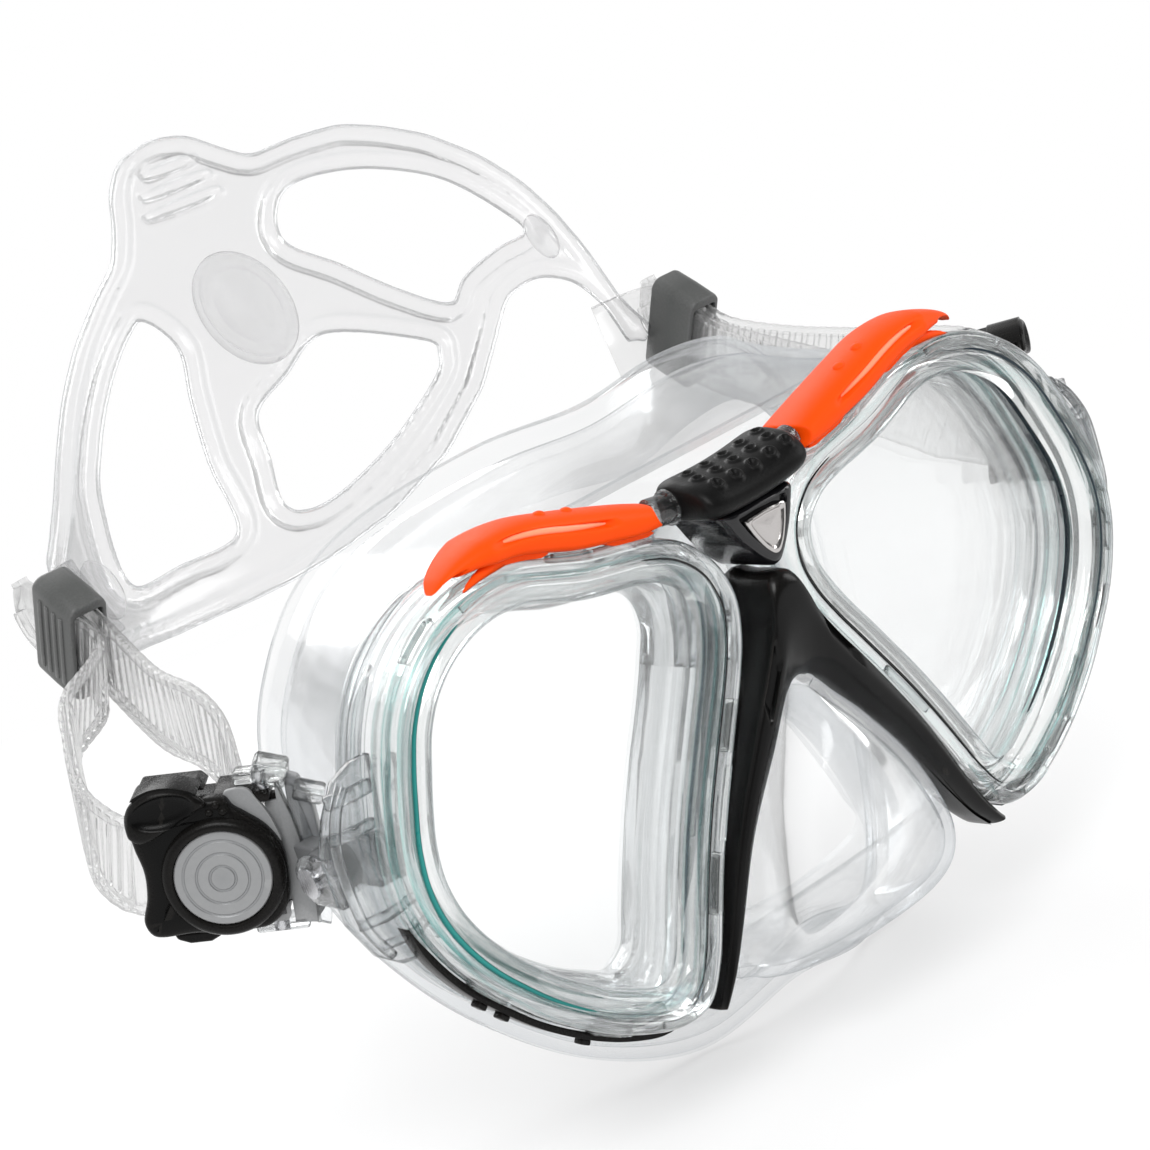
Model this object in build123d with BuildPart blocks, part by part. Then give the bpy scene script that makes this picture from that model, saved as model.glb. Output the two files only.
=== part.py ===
from build123d import *
import os
from math import sin, cos, radians, hypot

# Twin-lens diving mask with a clear skirt, gimballed strap buckles and a split head strap.
# Frame: origin midway between the lenses in the front plane of the bezels,
# +X towards the wearer's left, +Y towards the head, +Z up. Millimetres.
# One side of each paired piece is modelled, the other is its mirror image.

# ---------------------------------------------------------------- driving dimensions
BEZEL_DEPTH = 7.6                  # front rings, front to back
LENS_FRONT = 4.0                   # front of the glass behind the bezel face
LENS_THICK = 3.5
FRAME_FRONT = BEZEL_DEPTH + 0.05   # front of the rigid frame
FRAME_BACK = 17.0
SKIRT_FRONT = FRAME_BACK + 0.1
SKIRT_WALL = 1.8
RUN_CLEAR = 0.05                   # radial clearance of turning pins
FIT_CLEAR = 0.02                   # clearance of fixed parts
PITCH_Y, PITCH_Z = 14.5, 5.0       # common axis of the two yokes, along X
PITCH_PIN_R = 1.5
YAW_PIN_R = 1.2
ROLLER_R = 2.2
ROLLER_PIN_R = 1.0
PAWL_PIN_R = 0.8
STRAP_W = 15.4
STRAP_T = 1.8

# Clevis lugs of the frame, distances from the middle plane
LUG_FRONT = 7.8
LUG_OUT_X = 86.4                   # outer face of the outer ear
OUTER_EAR_X, INNER_EAR_X = 84.8, 79.2   # faces that look at the yoke
LUG_IN_X = 75.5
EAR_R = 4.0

# Buckle frame of the wearer's right side: origin near the yaw axis,
# local x forward along the buckle, local y up, local z outwards.
BUCKLE_ORIGIN = Vector(-83.0, 25.5, 5.5)
SPLAY = radians(50.0)              # from +Y towards -X
RISE = radians(11.0)
FORWARD = Vector(sin(SPLAY) * cos(RISE), -cos(SPLAY) * cos(RISE), -sin(RISE))
OUTWARD = Vector(-cos(SPLAY), -sin(SPLAY), 0)
UPWARD = OUTWARD.cross(FORWARD)
# axes that cross the buckle, as (forward, inwards)
YAW = (-2.4, 0.3)
ROLLER = (-6.5, 2.4)
PAWL = (-15.0, 3.2)
STRAP_MID_Y = 2.5                  # middle of the strap path in the buckle
BORE_START, BORE_LENGTH = -12, 30  # reaches right across buckle and yoke
BODY_BASE, BODY_THICK = 2.2, 3.0   # outer plate of the buckle, along local z

# Keeper zone of the strap: straight run, rising rearwards
STRAP_RISE = radians(32.0)
RUN_DIR = Vector(0, cos(STRAP_RISE), sin(STRAP_RISE))
WIDTH_DIR = Vector(0, -sin(STRAP_RISE), cos(STRAP_RISE))
KEEPER_X, KEEPER_Y, KEEPER_Z = -71.6, 92.5, 35.5
KEEPER_LEN = 11.0
LAYER_OFFSET = 1.6                 # each strap layer from the keeper's middle, along X


# ---------------------------------------------------------------- planes and outlines
def at_x(x):
    """Sketch plane facing +X: local x is Y, local y is Z."""
    return Plane.YZ.offset(x)


def at_y(y):
    """Sketch plane facing the front: local x is X, local y is Z. Negative extrudes go back."""
    return Plane.XZ.offset(-y)


def buckle_point(x, y, z):
    """World point of a buckle point."""
    return BUCKLE_ORIGIN + FORWARD * x + UPWARD * y + OUTWARD * z


def buckle_plane(z):
    """Plane parallel to the buckle face: local x forward, local y up."""
    return Plane(origin=buckle_point(0, 0, z), x_dir=FORWARD, z_dir=OUTWARD)


def edge_plane(y):
    """Plane across the buckle: local x forward, local y inwards."""
    return Plane(origin=buckle_point(0, y, 0), x_dir=FORWARD, z_dir=UPWARD)


def band(points, thickness):
    """Closed outline of a strip centred on a planar path."""
    upper, lower = [], []
    for i, (x, y) in enumerate(points):
        before = points[max(i - 1, 0)]
        after = points[min(i + 1, len(points) - 1)]
        dx, dy = after[0] - before[0], after[1] - before[1]
        scale = thickness / 2 / hypot(dx, dy)
        upper.append((x - dy * scale, y + dx * scale))
        lower.append((x + dy * scale, y - dx * scale))
    return upper + lower[::-1]


def both_sides(half):
    """Open curve from its left half, which ends on the middle line."""
    return half + [(-x, y) for x, y in half[-2::-1]]


# ================================================================= lenses and bezels
# Outlines of the wearer's-left ring as (x, z)
RING_OUT = [
    (78.8, 0.0), (78.0, 6.5), (76.1, 12.8), (74.0, 19.0), (71.1, 24.9), (67.0, 30.0),
    (61.8, 34.0), (55.8, 36.7), (49.4, 37.9), (42.8, 37.4), (36.6, 35.4), (30.4, 33.3),
    (23.9, 32.0), (17.5, 30.5), (11.8, 27.4), (7.6, 22.4), (5.7, 16.2), (6.8, 9.8),
    (9.6, 3.8), (12.9, -1.9), (16.2, -7.5), (19.5, -13.2), (22.6, -19.0), (25.5, -24.9),
    (28.2, -30.9), (31.1, -36.7), (35.4, -41.6), (41.8, -42.0), (48.0, -39.8), (53.7, -36.6),
    (59.0, -32.7), (63.9, -28.3), (68.3, -23.4), (72.4, -18.3), (75.7, -12.6), (78.0, -6.5)]
SEAT = [
    (76.7, -0.1), (76.0, 6.0), (74.3, 12.0), (72.1, 17.8), (69.5, 23.4), (65.7, 28.3),
    (60.9, 32.1), (55.2, 34.6), (49.1, 35.8), (43.0, 35.3), (37.1, 33.4), (31.3, 31.3),
    (25.2, 29.9), (19.1, 28.8), (13.6, 26.2), (9.5, 21.6), (7.8, 15.7), (9.1, 9.7),
    (11.9, 4.1), (15.0, -1.3), (18.2, -6.6), (21.3, -11.9), (24.2, -17.4), (26.9, -22.9),
    (29.5, -28.6), (32.1, -34.2), (35.7, -39.2), (41.7, -39.8), (47.4, -37.6), (52.8, -34.6),
    (57.8, -30.9), (62.4, -26.8), (66.6, -22.2), (70.4, -17.3), (73.6, -12.0), (75.8, -6.2)]
LENS = [
    (76.4, -0.1), (75.8, 6.0), (74.1, 11.9), (71.9, 17.7), (69.3, 23.2), (65.6, 28.2),
    (60.8, 31.9), (55.2, 34.5), (49.1, 35.5), (43.0, 35.1), (37.1, 33.2), (31.3, 31.1),
    (25.3, 29.8), (19.3, 28.6), (13.7, 26.1), (9.7, 21.4), (8.1, 15.6), (9.4, 9.6),
    (12.1, 4.1), (15.2, -1.2), (18.4, -6.5), (21.4, -11.8), (24.4, -17.2), (27.1, -22.8),
    (29.6, -28.4), (32.3, -34.0), (35.8, -39.0), (41.7, -39.6), (47.4, -37.4), (52.8, -34.4),
    (57.7, -30.8), (62.3, -26.6), (66.5, -22.1), (70.2, -17.2), (73.4, -11.9), (75.6, -6.2)]
RING_OPEN = [
    (71.8, -0.1), (71.2, 5.2), (69.7, 10.3), (67.8, 15.3), (65.7, 20.3), (62.6, 24.6),
    (58.5, 27.9), (53.6, 30.1), (48.3, 31.0), (43.0, 30.4), (38.0, 28.6), (33.0, 26.8),
    (27.8, 25.6), (22.5, 24.6), (17.5, 22.9), (13.6, 19.3), (12.9, 14.1), (14.7, 9.1),
    (17.2, 4.4), (20.0, -0.2), (22.7, -4.8), (25.4, -9.4), (27.9, -14.1), (30.3, -18.9),
    (32.6, -23.8), (34.8, -28.6), (37.2, -33.4), (41.7, -34.9), (46.6, -32.6), (51.2, -29.9),
    (55.4, -26.6), (59.4, -23.0), (63.0, -19.1), (66.3, -14.9), (69.1, -10.3), (71.0, -5.4)]
REAR_OPEN = [
    (70.3, -0.1), (69.8, 5.0), (68.3, 9.8), (66.5, 14.6), (64.6, 19.2), (61.7, 23.4),
    (57.8, 26.6), (53.1, 28.6), (48.1, 29.4), (43.1, 28.9), (38.3, 27.2), (33.6, 25.4),
    (28.7, 24.2), (23.7, 23.3), (18.8, 21.9), (15.0, 18.6), (14.4, 13.7), (16.4, 9.1),
    (18.8, 4.6), (21.4, 0.2), (24.1, -4.1), (26.6, -8.5), (29.0, -12.9), (31.3, -17.5),
    (33.5, -22.1), (35.6, -26.7), (37.7, -31.3), (41.9, -33.3), (46.4, -31.1), (50.7, -28.4),
    (54.7, -25.3), (58.4, -21.8), (61.9, -18.1), (65.0, -14.1), (67.7, -9.8), (69.6, -5.1)]


def bezel():
    with BuildPart() as ring:
        with BuildSketch(at_y(0)):
            with BuildLine():
                Spline(*RING_OUT, periodic=True)
            make_face()
            with BuildLine():
                Spline(*RING_OPEN, periodic=True)
            make_face(mode=Mode.SUBTRACT)
        extrude(amount=-BEZEL_DEPTH)
        chamfer(ring.edges().group_by(Axis.Y)[0], length=0.9)
        # pocket behind the front lip that holds the glass
        with BuildSketch(at_y(LENS_FRONT - FIT_CLEAR)):
            with BuildLine():
                Spline(*SEAT, periodic=True)
            make_face()
        extrude(amount=-(BEZEL_DEPTH - LENS_FRONT + 1), mode=Mode.SUBTRACT)
    return ring.part


def lens():
    with BuildPart() as glass:
        with BuildSketch(at_y(LENS_FRONT)):
            with BuildLine():
                Spline(*LENS, periodic=True)
            make_face()
        extrude(amount=-LENS_THICK)
        chamfer(glass.edges(), length=0.3)
    return glass.part


# ================================================================= frame
BRIDGE_FRONT = 8.6
BRIDGE = [  # (x, z)
    (-12, 28.0), (-10.5, 29.3), (10.5, 29.3), (12, 28.0), (9.5, 21), (8, 14), (9, 9),
    (11, 4), (-11, 4), (-9, 9), (-8, 14), (-9.5, 21)]
LUG_WALL = [  # (x, z), wearer's right
    (-73.0, 20.5), (-80.5, 19.0), (-84.0, 14.0), (-LUG_OUT_X, 10.0), (-LUG_OUT_X, -1.5),
    (-83.5, -8.0), (-80.0, -11.0), (-75.5, -12.0)]
EARS = [  # x range of each ear
    (-INNER_EAR_X, -LUG_IN_X), (-LUG_OUT_X, -OUTER_EAR_X),
    (LUG_IN_X, INNER_EAR_X), (OUTER_EAR_X, LUG_OUT_X)]


def rigid_frame():
    ear_depth = 6.6
    bore_end, bore_length = LUG_OUT_X + 1, 11.5
    with BuildPart() as frame:
        with BuildSketch(at_y(FRAME_FRONT)):
            with BuildLine():
                Spline(*RING_OUT, periodic=True)
            make_face()
            with BuildLine():
                Spline(*REAR_OPEN, periodic=True)
            make_face(mode=Mode.SUBTRACT)
        extrude(amount=-(FRAME_BACK - FRAME_FRONT))
        # outer edge of the back face
        chamfer(frame.edges().group_by(Axis.Y)[-1].sort_by(SortBy.LENGTH)[-1:], length=1.2)
        mirror(about=Plane.YZ)
        # bridge between the two rings
        with BuildSketch(at_y(BRIDGE_FRONT)):
            with BuildLine():
                Polyline(*BRIDGE, close=True)
            make_face()
        extrude(amount=-(FRAME_BACK - BRIDGE_FRONT))
        # lug walls on both sides, in front of the yokes
        with BuildSketch(at_y(LUG_FRONT)):
            with BuildLine():
                Polyline(*LUG_WALL, close=True)
            make_face()
            mirror(about=Plane.YZ)
        extrude(amount=-2.3)
        # clevis ears on the pitch axis
        for start, end in EARS:
            with BuildSketch(at_x(start)):
                with Locations((PITCH_Y, PITCH_Z)):
                    Circle(EAR_R)
                with Locations((LUG_FRONT + ear_depth / 2, PITCH_Z)):
                    Rectangle(ear_depth, 2 * EAR_R)
            extrude(amount=end - start)
        # pin bores through both lugs
        for start in (-bore_end, bore_end - bore_length):
            with BuildSketch(at_x(start)):
                with Locations((PITCH_Y, PITCH_Z)):
                    Circle(PITCH_PIN_R + FIT_CLEAR)
            extrude(amount=bore_length, mode=Mode.SUBTRACT)
    return frame.part


def pitch_pin():
    sections = (  # x beyond the lug, radius, length: head, then shank
        (0.5, 2.4, 0.45),
        (0.1, PITCH_PIN_R, 10.3))
    with BuildPart() as pin:
        for beyond, radius, length in sections:
            with BuildSketch(at_x(-LUG_OUT_X - beyond)):
                with Locations((PITCH_Y, PITCH_Z)):
                    Circle(radius)
            extrude(amount=length)
    return pin.part


# ================================================================= brow accents
ACCENT_FRONT = -1.0
ACCENT = [  # (x, z), lower edge outwards, then upper edge back
    (14.6, 31.6), (20.0, 31.9), (26.0, 33.2), (31.8, 34.6), (37.4, 36.6), (43.0, 38.3),
    (49.4, 38.9), (54.0, 38.3), (56.8, 37.4),
    (57.0, 38.6), (55.2, 40.8), (51.2, 42.5), (46.0, 43.3), (39.4, 42.9), (33.0, 41.2),
    (26.0, 39.0), (20.0, 37.0), (15.2, 35.2)]
ACCENT_GROOVE = [(23.0, 36.2), (40.0, 40.6), (50.0, 40.8), (40.0, 39.6), (23.5, 35.2)]


def brow_accent():
    with BuildPart() as accent:
        with BuildSketch(at_y(ACCENT_FRONT)):
            with BuildLine():
                Polyline(*ACCENT, close=True)
            make_face()
        extrude(amount=-11.0)
        chamfer(accent.edges().group_by(Axis.Y)[0], length=0.5)
        # shallow groove along the front
        with BuildSketch(at_y(ACCENT_FRONT)):
            with BuildLine():
                Polyline(*ACCENT_GROOVE, close=True)
            make_face()
        extrude(amount=-0.5, mode=Mode.SUBTRACT)
    return accent.part


# ================================================================= bridge parts
GRIP_W = 22.0
GRIP_TOP = [(-6.0, 30.6), (-5.6, 32.4), (-3.6, 34.8), (0.0, 36.4), (4.0, 37.0), (7.0, 36.2)]  # (y, z)
DIMPLE_ROWS = ((-5.2, 34.8), (-1.6, 36.9), (3.4, 38.0))  # (y, z)
DIMPLE_R, DIMPLE_PITCH = 1.35, 4.2
SHIELD_FRONT = -5.0
SHIELD = [(-7.0, 29.2), (7.0, 29.2), (5.0, 24.0), (1.2, 18.8), (-1.2, 18.8), (-5.0, 24.0)]
INSERT_SEAT = [(-4.2, 27.6), (4.2, 27.6), (2.8, 23.4), (0.6, 20.4), (-0.6, 20.4), (-2.8, 23.4)]
INSERT = [
    (-4.1, 27.5), (4.1, 27.5), (2.75, 23.45), (0.55, 20.5), (-0.55, 20.5), (-2.75, 23.45)]


def bridge_grip():
    with BuildPart() as grip:
        with BuildSketch(at_x(-GRIP_W / 2)):
            with BuildLine():
                Spline(*GRIP_TOP)
                Polyline(GRIP_TOP[-1], (7.0, 29.5), (-5.4, 29.5), GRIP_TOP[0])
            make_face()
        extrude(amount=GRIP_W)
        fillet(grip.edges().filter_by(GeomType.BSPLINE), radius=1.2)
        # dimples over the top, the middle row with one more
        for row, (y, z) in enumerate(DIMPLE_ROWS):
            count = 4 + row % 2
            for i in range(count):
                with Locations(((i - (count - 1) / 2) * DIMPLE_PITCH, y, z)):
                    Sphere(DIMPLE_R, mode=Mode.SUBTRACT)
    return grip.part


def bridge_shield():
    with BuildPart() as shield:
        with BuildSketch(at_y(SHIELD_FRONT)):
            with BuildLine():
                Polyline(*SHIELD, close=True)
            make_face()
        extrude(amount=-13.4)
        chamfer(shield.edges().group_by(Axis.Y)[0], length=0.6)
        # seat for the insert
        with BuildSketch(at_y(SHIELD_FRONT)):
            with BuildLine():
                Polyline(*INSERT_SEAT, close=True)
            make_face()
        extrude(amount=-1.0, mode=Mode.SUBTRACT)
    return shield.part


def bridge_insert():
    with BuildPart() as insert:
        with BuildSketch(at_y(SHIELD_FRONT - 0.3)):
            with BuildLine():
                Polyline(*INSERT, close=True)
            make_face()
        extrude(amount=-1.25)
        chamfer(insert.edges().group_by(Axis.Y)[0], length=0.25)
    return insert.part


# ================================================================= nose trim and lower trims
NOSE_TRIM_FRONT = -5.6
NOSE_TRIM = [  # (x, z), down the upper edge of the left leg, then up its lower edge
    (0.0, 17.6), (3.6, 16.6), (5.0, 14.0), (6.0, 9.8), (9.0, 3.8), (12.3, -2.0), (15.6, -7.7),
    (19.0, -13.4), (22.1, -19.2), (25.0, -25.2), (27.7, -31.2), (30.6, -37.0), (34.2, -42.2),
    (31.4, -43.6), (27.2, -39.6), (23.4, -33.4), (19.2, -25.6), (14.6, -17.6), (10.0, -10.2),
    (5.4, -4.0), (2.6, -1.8), (0.0, -1.2), (0.0, 17.6)]
# Edges of the lower trim as (x, z), round the whole ring
TRIM_IN = [
    (79.1, 0.0), (78.2, 6.6), (76.4, 12.9), (74.2, 19.2), (71.3, 25.1), (67.2, 30.2),
    (61.9, 34.2), (55.9, 37.0), (49.4, 38.2), (42.8, 37.7), (36.5, 35.7), (30.3, 33.6),
    (23.8, 32.3), (17.3, 30.8), (11.6, 27.6), (7.3, 22.6), (5.4, 16.3), (6.5, 9.8),
    (9.3, 3.8), (12.6, -1.9), (15.9, -7.6), (19.3, -13.3), (22.4, -19.1), (25.3, -25.1),
    (28.0, -31.1), (31.0, -37.0), (35.4, -41.9), (41.8, -42.3), (48.0, -40.0), (53.8, -36.9),
    (59.2, -33.0), (64.1, -28.5), (68.5, -23.6), (72.6, -18.4), (76.0, -12.7), (78.2, -6.5)]
TRIM_OUT = [
    (80.8, 0.0), (79.9, 6.9), (78.0, 13.5), (75.7, 20.0), (72.6, 26.2), (68.2, 31.5),
    (62.7, 35.7), (56.5, 38.5), (49.7, 39.8), (42.8, 39.4), (36.2, 37.4), (29.7, 35.2),
    (22.9, 33.8), (16.2, 32.1), (10.3, 28.7), (5.9, 23.4), (3.8, 16.9), (4.7, 10.1),
    (7.4, 3.8), (10.8, -2.2), (14.4, -8.2), (17.9, -14.2), (21.1, -20.2), (24.1, -26.5),
    (26.9, -32.8), (30.2, -38.9), (35.0, -43.6), (41.8, -43.9), (48.4, -41.7), (54.4, -38.5),
    (60.0, -34.4), (65.1, -29.8), (69.8, -24.7), (74.0, -19.2), (77.5, -13.3), (79.9, -6.8)]
TRIM_ZONE = [(36.5, -60), (36.5, -30), (60, -15), (70, -13.0), (90, -13.0), (90, -60)]


def nose_trim():
    lean_plane = Plane(origin=(0, NOSE_TRIM_FRONT, 14.0), x_dir=(1, 0, 0), z_dir=(0, 1, 0.09))
    with BuildPart() as trim:
        with BuildSketch(at_y(NOSE_TRIM_FRONT)):
            with BuildLine():
                Polyline(*NOSE_TRIM, close=False)
            make_face()
            mirror(about=Plane.YZ)
        extrude(amount=-13.8)
        # front face leans back towards the leg ends
        split(bisect_by=lean_plane, keep=Keep.TOP)
    return trim.part


def lower_trim():
    with BuildPart() as trim:
        with BuildSketch(at_y(5.0)):
            with BuildLine():
                Spline(*TRIM_OUT, periodic=True)
            make_face()
            with BuildLine():
                Spline(*TRIM_IN, periodic=True)
            make_face(mode=Mode.SUBTRACT)
            # keep the lower outer stretch only
            with BuildLine():
                Polyline(*TRIM_ZONE, close=True)
            make_face(mode=Mode.INTERSECT)
        extrude(amount=-2.6)
    return trim.part


# ================================================================= skirt
def skirt_outline(upper, lower):
    """Whole outline from its left half: widest point to top, then bottom up to the side."""
    return (upper + [(-x, z) for x, z in upper[-2::-1]]
            + [(-x, z) for x, z in lower[:0:-1]] + lower)


# Outlines as (x, z), front to rear
SKIRT_A = skirt_outline(
    [(74.6, 0.0), (73.0, 15.0), (67.0, 27.5), (56.0, 34.5), (42.0, 36.5), (22.0, 36.8), (0.0, 37.0)],
    [(0.0, -42.5), (20.0, -42.5), (36.0, -41.5), (50.0, -36.0), (64.0, -26.0), (73.0, -14.0)])
SKIRT_M = skirt_outline(
    [(70.5, 0.0), (69.2, 14.5), (64.0, 28.0), (53.0, 38.5), (39.0, 44.5), (20.0, 46.3), (0.0, 46.0)],
    [(0.0, -57.0), (20.0, -60.5), (35.0, -55.0), (49.0, -43.5), (61.0, -29.5), (68.0, -15.0)])
SKIRT_B = skirt_outline(
    [(64.5, 0.0), (63.6, 14.0), (60.0, 28.0), (52.0, 39.0), (38.0, 44.5), (20.0, 46.0), (0.0, 45.5)],
    [(0.0, -57.0), (20.0, -61.0), (34.0, -56.0), (47.0, -45.0), (58.0, -31.0), (62.5, -16.0)])
NOSE = (  # z, half width, front y
    (-2.6, 2.0, -4.6), (-10.0, 7.6, -9.8), (-20.0, 13.2, -12.6), (-31.0, 17.0, -13.2),
    (-40.0, 18.4, -9.0))
RIM = both_sides([(-80, 66), (-62, 57), (-45, 45), (-22, 34.5), (0, 31.5)])  # (x, y)


def shrunk(points, inset):
    """Same outline pulled in by about the inset towards its middle."""
    middle_z = -4
    result = []
    for x, z in points:
        scale = inset / hypot(x, z - middle_z)
        result.append((x - x * scale, z - (z - middle_z) * scale))
    return result


def skirt():
    shell = ((SKIRT_FRONT, SKIRT_A), (32.0, SKIRT_M), (60.0, SKIRT_B))
    cavity = (
        (SKIRT_FRONT + SKIRT_WALL, shrunk(SKIRT_A, SKIRT_WALL + 0.4)),
        (32.0, shrunk(SKIRT_M, SKIRT_WALL + 0.2)),
        (60.2, shrunk(SKIRT_B, SKIRT_WALL + 0.2)))
    with BuildPart() as body:
        # outer shape, then the face cavity
        for stations, mode in ((shell, Mode.ADD), (cavity, Mode.SUBTRACT)):
            for depth, outline in stations:
                with BuildSketch(at_y(depth)):
                    with BuildLine():
                        Spline(*outline, periodic=True)
                    make_face()
            loft(ruled=True, mode=mode)
        # lens openings through the front wall
        with BuildSketch(at_y(SKIRT_FRONT - 1)):
            with BuildLine():
                Spline(*REAR_OPEN, periodic=True)
            make_face()
            mirror(about=Plane.YZ)
        extrude(amount=-(SKIRT_WALL + 2), mode=Mode.SUBTRACT)
        # nose pocket: outside
        for z, half, front in NOSE:
            section = both_sides([
                (-half - 1.5, 19.0), (-half, front + 9), (-half * 0.62, front + 1.6), (0, front)])
            with BuildSketch(Plane.XY.offset(z)):
                with BuildLine():
                    Spline(*section)
                    Line(section[0], section[-1])
                make_face()
        loft(ruled=True)
        # nose pocket: inside
        for z, half, front in NOSE:
            section = both_sides([
                (-half + 0.2, 19.4), (-half + 1.6, front + 9), (-half * 0.58, front + 3.2),
                (0, front + 1.8)])
            with BuildSketch(Plane.XY.offset(z * 0.955 - 0.3)):
                with BuildLine():
                    Spline(*section)
                    Line(section[0], section[-1])
                make_face()
        loft(ruled=True, mode=Mode.SUBTRACT)
        # rim follows the face: forehead and lip forward, temples back
        with BuildSketch(Plane.XY.offset(-80)):
            with BuildLine():
                Spline(*RIM)
                Polyline(RIM[-1], (80, 90), (-80, 90), RIM[0])
            make_face()
        extrude(amount=160, mode=Mode.SUBTRACT)
    return body.part


# ================================================================= gimbal yoke, wearer's right
YOKE_ARMS = [  # (forward, up)
    (1.4, 13.3), (1.4, -8.4), (-6.2, -8.4), (-6.2, -10.4), (1.4, -10.9), (4.4, -7.8),
    (5.3, -2.0), (5.5, 4.0), (5.0, 9.0), (3.2, 13.6), (1.4, 15.6), (-6.2, 15.2), (-6.2, 13.3)]


def yoke():
    ear_gap = 0.15
    with BuildPart() as fork:
        # knuckle between the ears
        with BuildSketch(at_x(-OUTER_EAR_X + ear_gap)):
            with Locations((PITCH_Y, PITCH_Z)):
                Circle(3.9)
        extrude(amount=OUTER_EAR_X - INNER_EAR_X - 2 * ear_gap)
        # neck behind the knuckle
        with BuildSketch(at_x(-83.4)):
            with Locations((19.2, PITCH_Z + 0.2)):
                Rectangle(5.8, 7.4)
        extrude(amount=4.0)
        # web with an arm above and below the buckle
        with BuildSketch(buckle_plane(-2.6)):
            with BuildLine():
                Polyline(*YOKE_ARMS, close=True)
            make_face()
        extrude(amount=4.3)
        with BuildSketch(at_x(-85)):
            with Locations((PITCH_Y, PITCH_Z)):
                Circle(PITCH_PIN_R + RUN_CLEAR)
        extrude(amount=6, mode=Mode.SUBTRACT)
        with BuildSketch(edge_plane(BORE_START)):
            with Locations(YAW):
                Circle(YAW_PIN_R + FIT_CLEAR)
        extrude(amount=BORE_LENGTH, mode=Mode.SUBTRACT)
    return fork.part


def cross_pin(axis, radius, *spans):
    """Round pin across the buckle, one length for each (start, end) in local y."""
    with BuildPart() as pin:
        for start, end in spans:
            with BuildSketch(edge_plane(start)):
                with Locations(axis):
                    Circle(radius)
            extrude(amount=end - start)
    return pin.part


# ================================================================= buckle, wearer's right
# Outlines as (forward, up)
BODY = [
    (0.3, -5.2), (0.3, 5.6), (-1.4, 9.2), (-5.0, 12.4), (-10.0, 13.0), (-16.0, 13.0),
    (-20.0, 12.4), (-22.2, 10.6), (-21.2, 4.0), (-21.2, -1.0), (-22.2, -5.6), (-19.6, -8.2),
    (-10.5, -8.3), (-4.0, -8.1), (-1.2, -6.8)]
UPPER_WALL = [
    (-0.2, 10.8), (-0.2, 12.0), (-4.8, 12.9), (-9.2, 12.9), (-9.6, 11.9), (-21.0, 11.9),
    (-21.0, 10.8)]
LOWER_WALL = [
    (-0.2, -5.8), (-0.2, -7.4), (-4.0, -7.9), (-9.8, -7.9), (-10.2, -7.0), (-19.0, -7.0),
    (-19.2, -7.8), (-21.0, -7.6), (-21.0, -5.8)]
UPPER_BUTTON = [
    (-21.2, 13.5), (-20.4, 15.4), (-17.6, 16.6), (-14.6, 16.6), (-11.2, 15.2), (-10.0, 13.5)]
LOWER_BUTTON = [
    (-18.6, -8.6), (-18.2, -9.9), (-16.2, -10.7), (-13.0, -10.7), (-11.2, -9.8), (-10.8, -8.6)]
UPPER_STEM = (-19.0, 3.2)  # (forward, inwards)
LOWER_STEM = (-18.0, 3.2)
PAWL_OUTLINE = [  # (forward, inwards)
    (-16.6, 3.4), (-16.2, 1.9), (-13.6, 1.2), (-12.2, 0.35), (-11.2, 0.3), (-11.6, 1.3),
    (-12.0, 2.6), (-13.4, 4.2), (-15.2, 4.9), (-16.4, 4.4)]


def buckle_body():
    wall_base = -5.8
    with BuildPart() as body:
        with BuildSketch(buckle_plane(BODY_BASE)) as plate:
            with BuildLine():
                Polyline(*BODY, close=True)
            make_face()
            fillet(plate.vertices(), radius=0.7)
        extrude(amount=BODY_THICK)
        chamfer(body.faces().sort_by(Axis(BUCKLE_ORIGIN, OUTWARD))[-1].edges(), length=0.45)
        # side walls
        with BuildSketch(buckle_plane(wall_base)):
            for wall in (UPPER_WALL, LOWER_WALL):
                with BuildLine():
                    Polyline(*wall, close=True)
                make_face()
        extrude(amount=BODY_BASE - wall_base)
        # front cross bar
        with BuildSketch(buckle_plane(-1.8)):
            with Locations((-0.9, STRAP_MID_Y)):
                Rectangle(1.7, 17.4)
        extrude(amount=4.1)
        # bores for the roller pin, the pawl pin and the yaw stubs
        with BuildSketch(edge_plane(BORE_START)):
            with Locations(ROLLER):
                Circle(ROLLER_PIN_R + FIT_CLEAR)
            with Locations(PAWL):
                Circle(PAWL_PIN_R + FIT_CLEAR)
            with Locations(YAW):
                Circle(YAW_PIN_R + RUN_CLEAR)
        extrude(amount=BORE_LENGTH, mode=Mode.SUBTRACT)
        # button stem slots
        for start, stem in ((10, UPPER_STEM), (-9, LOWER_STEM)):
            with BuildSketch(edge_plane(start)):
                with Locations(stem):
                    Rectangle(2.6, 2.2)
            extrude(amount=4, mode=Mode.SUBTRACT)
    return body.part


def buckle_badge():
    with BuildPart() as badge:
        with BuildSketch(buckle_plane(BODY_BASE + BODY_THICK + FIT_CLEAR)):
            with Locations((-9.0, 0.9)):
                Circle(7.4)
        extrude(amount=0.9)
        chamfer(badge.faces().sort_by(Axis(BUCKLE_ORIGIN, OUTWARD))[-1].edges(), length=0.35)
    return badge.part


def button(outline, base, height, stem, stem_start, stem_length):
    """Side button with a stem through the buckle wall."""
    with BuildPart() as key:
        with BuildSketch(buckle_plane(base)):
            with BuildLine():
                Polyline(*outline, close=True)
            make_face()
        extrude(amount=height)
        with BuildSketch(edge_plane(stem_start)):
            with Locations(stem):
                Rectangle(2.0, 1.6)
        extrude(amount=stem_length)
    return key.part


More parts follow.
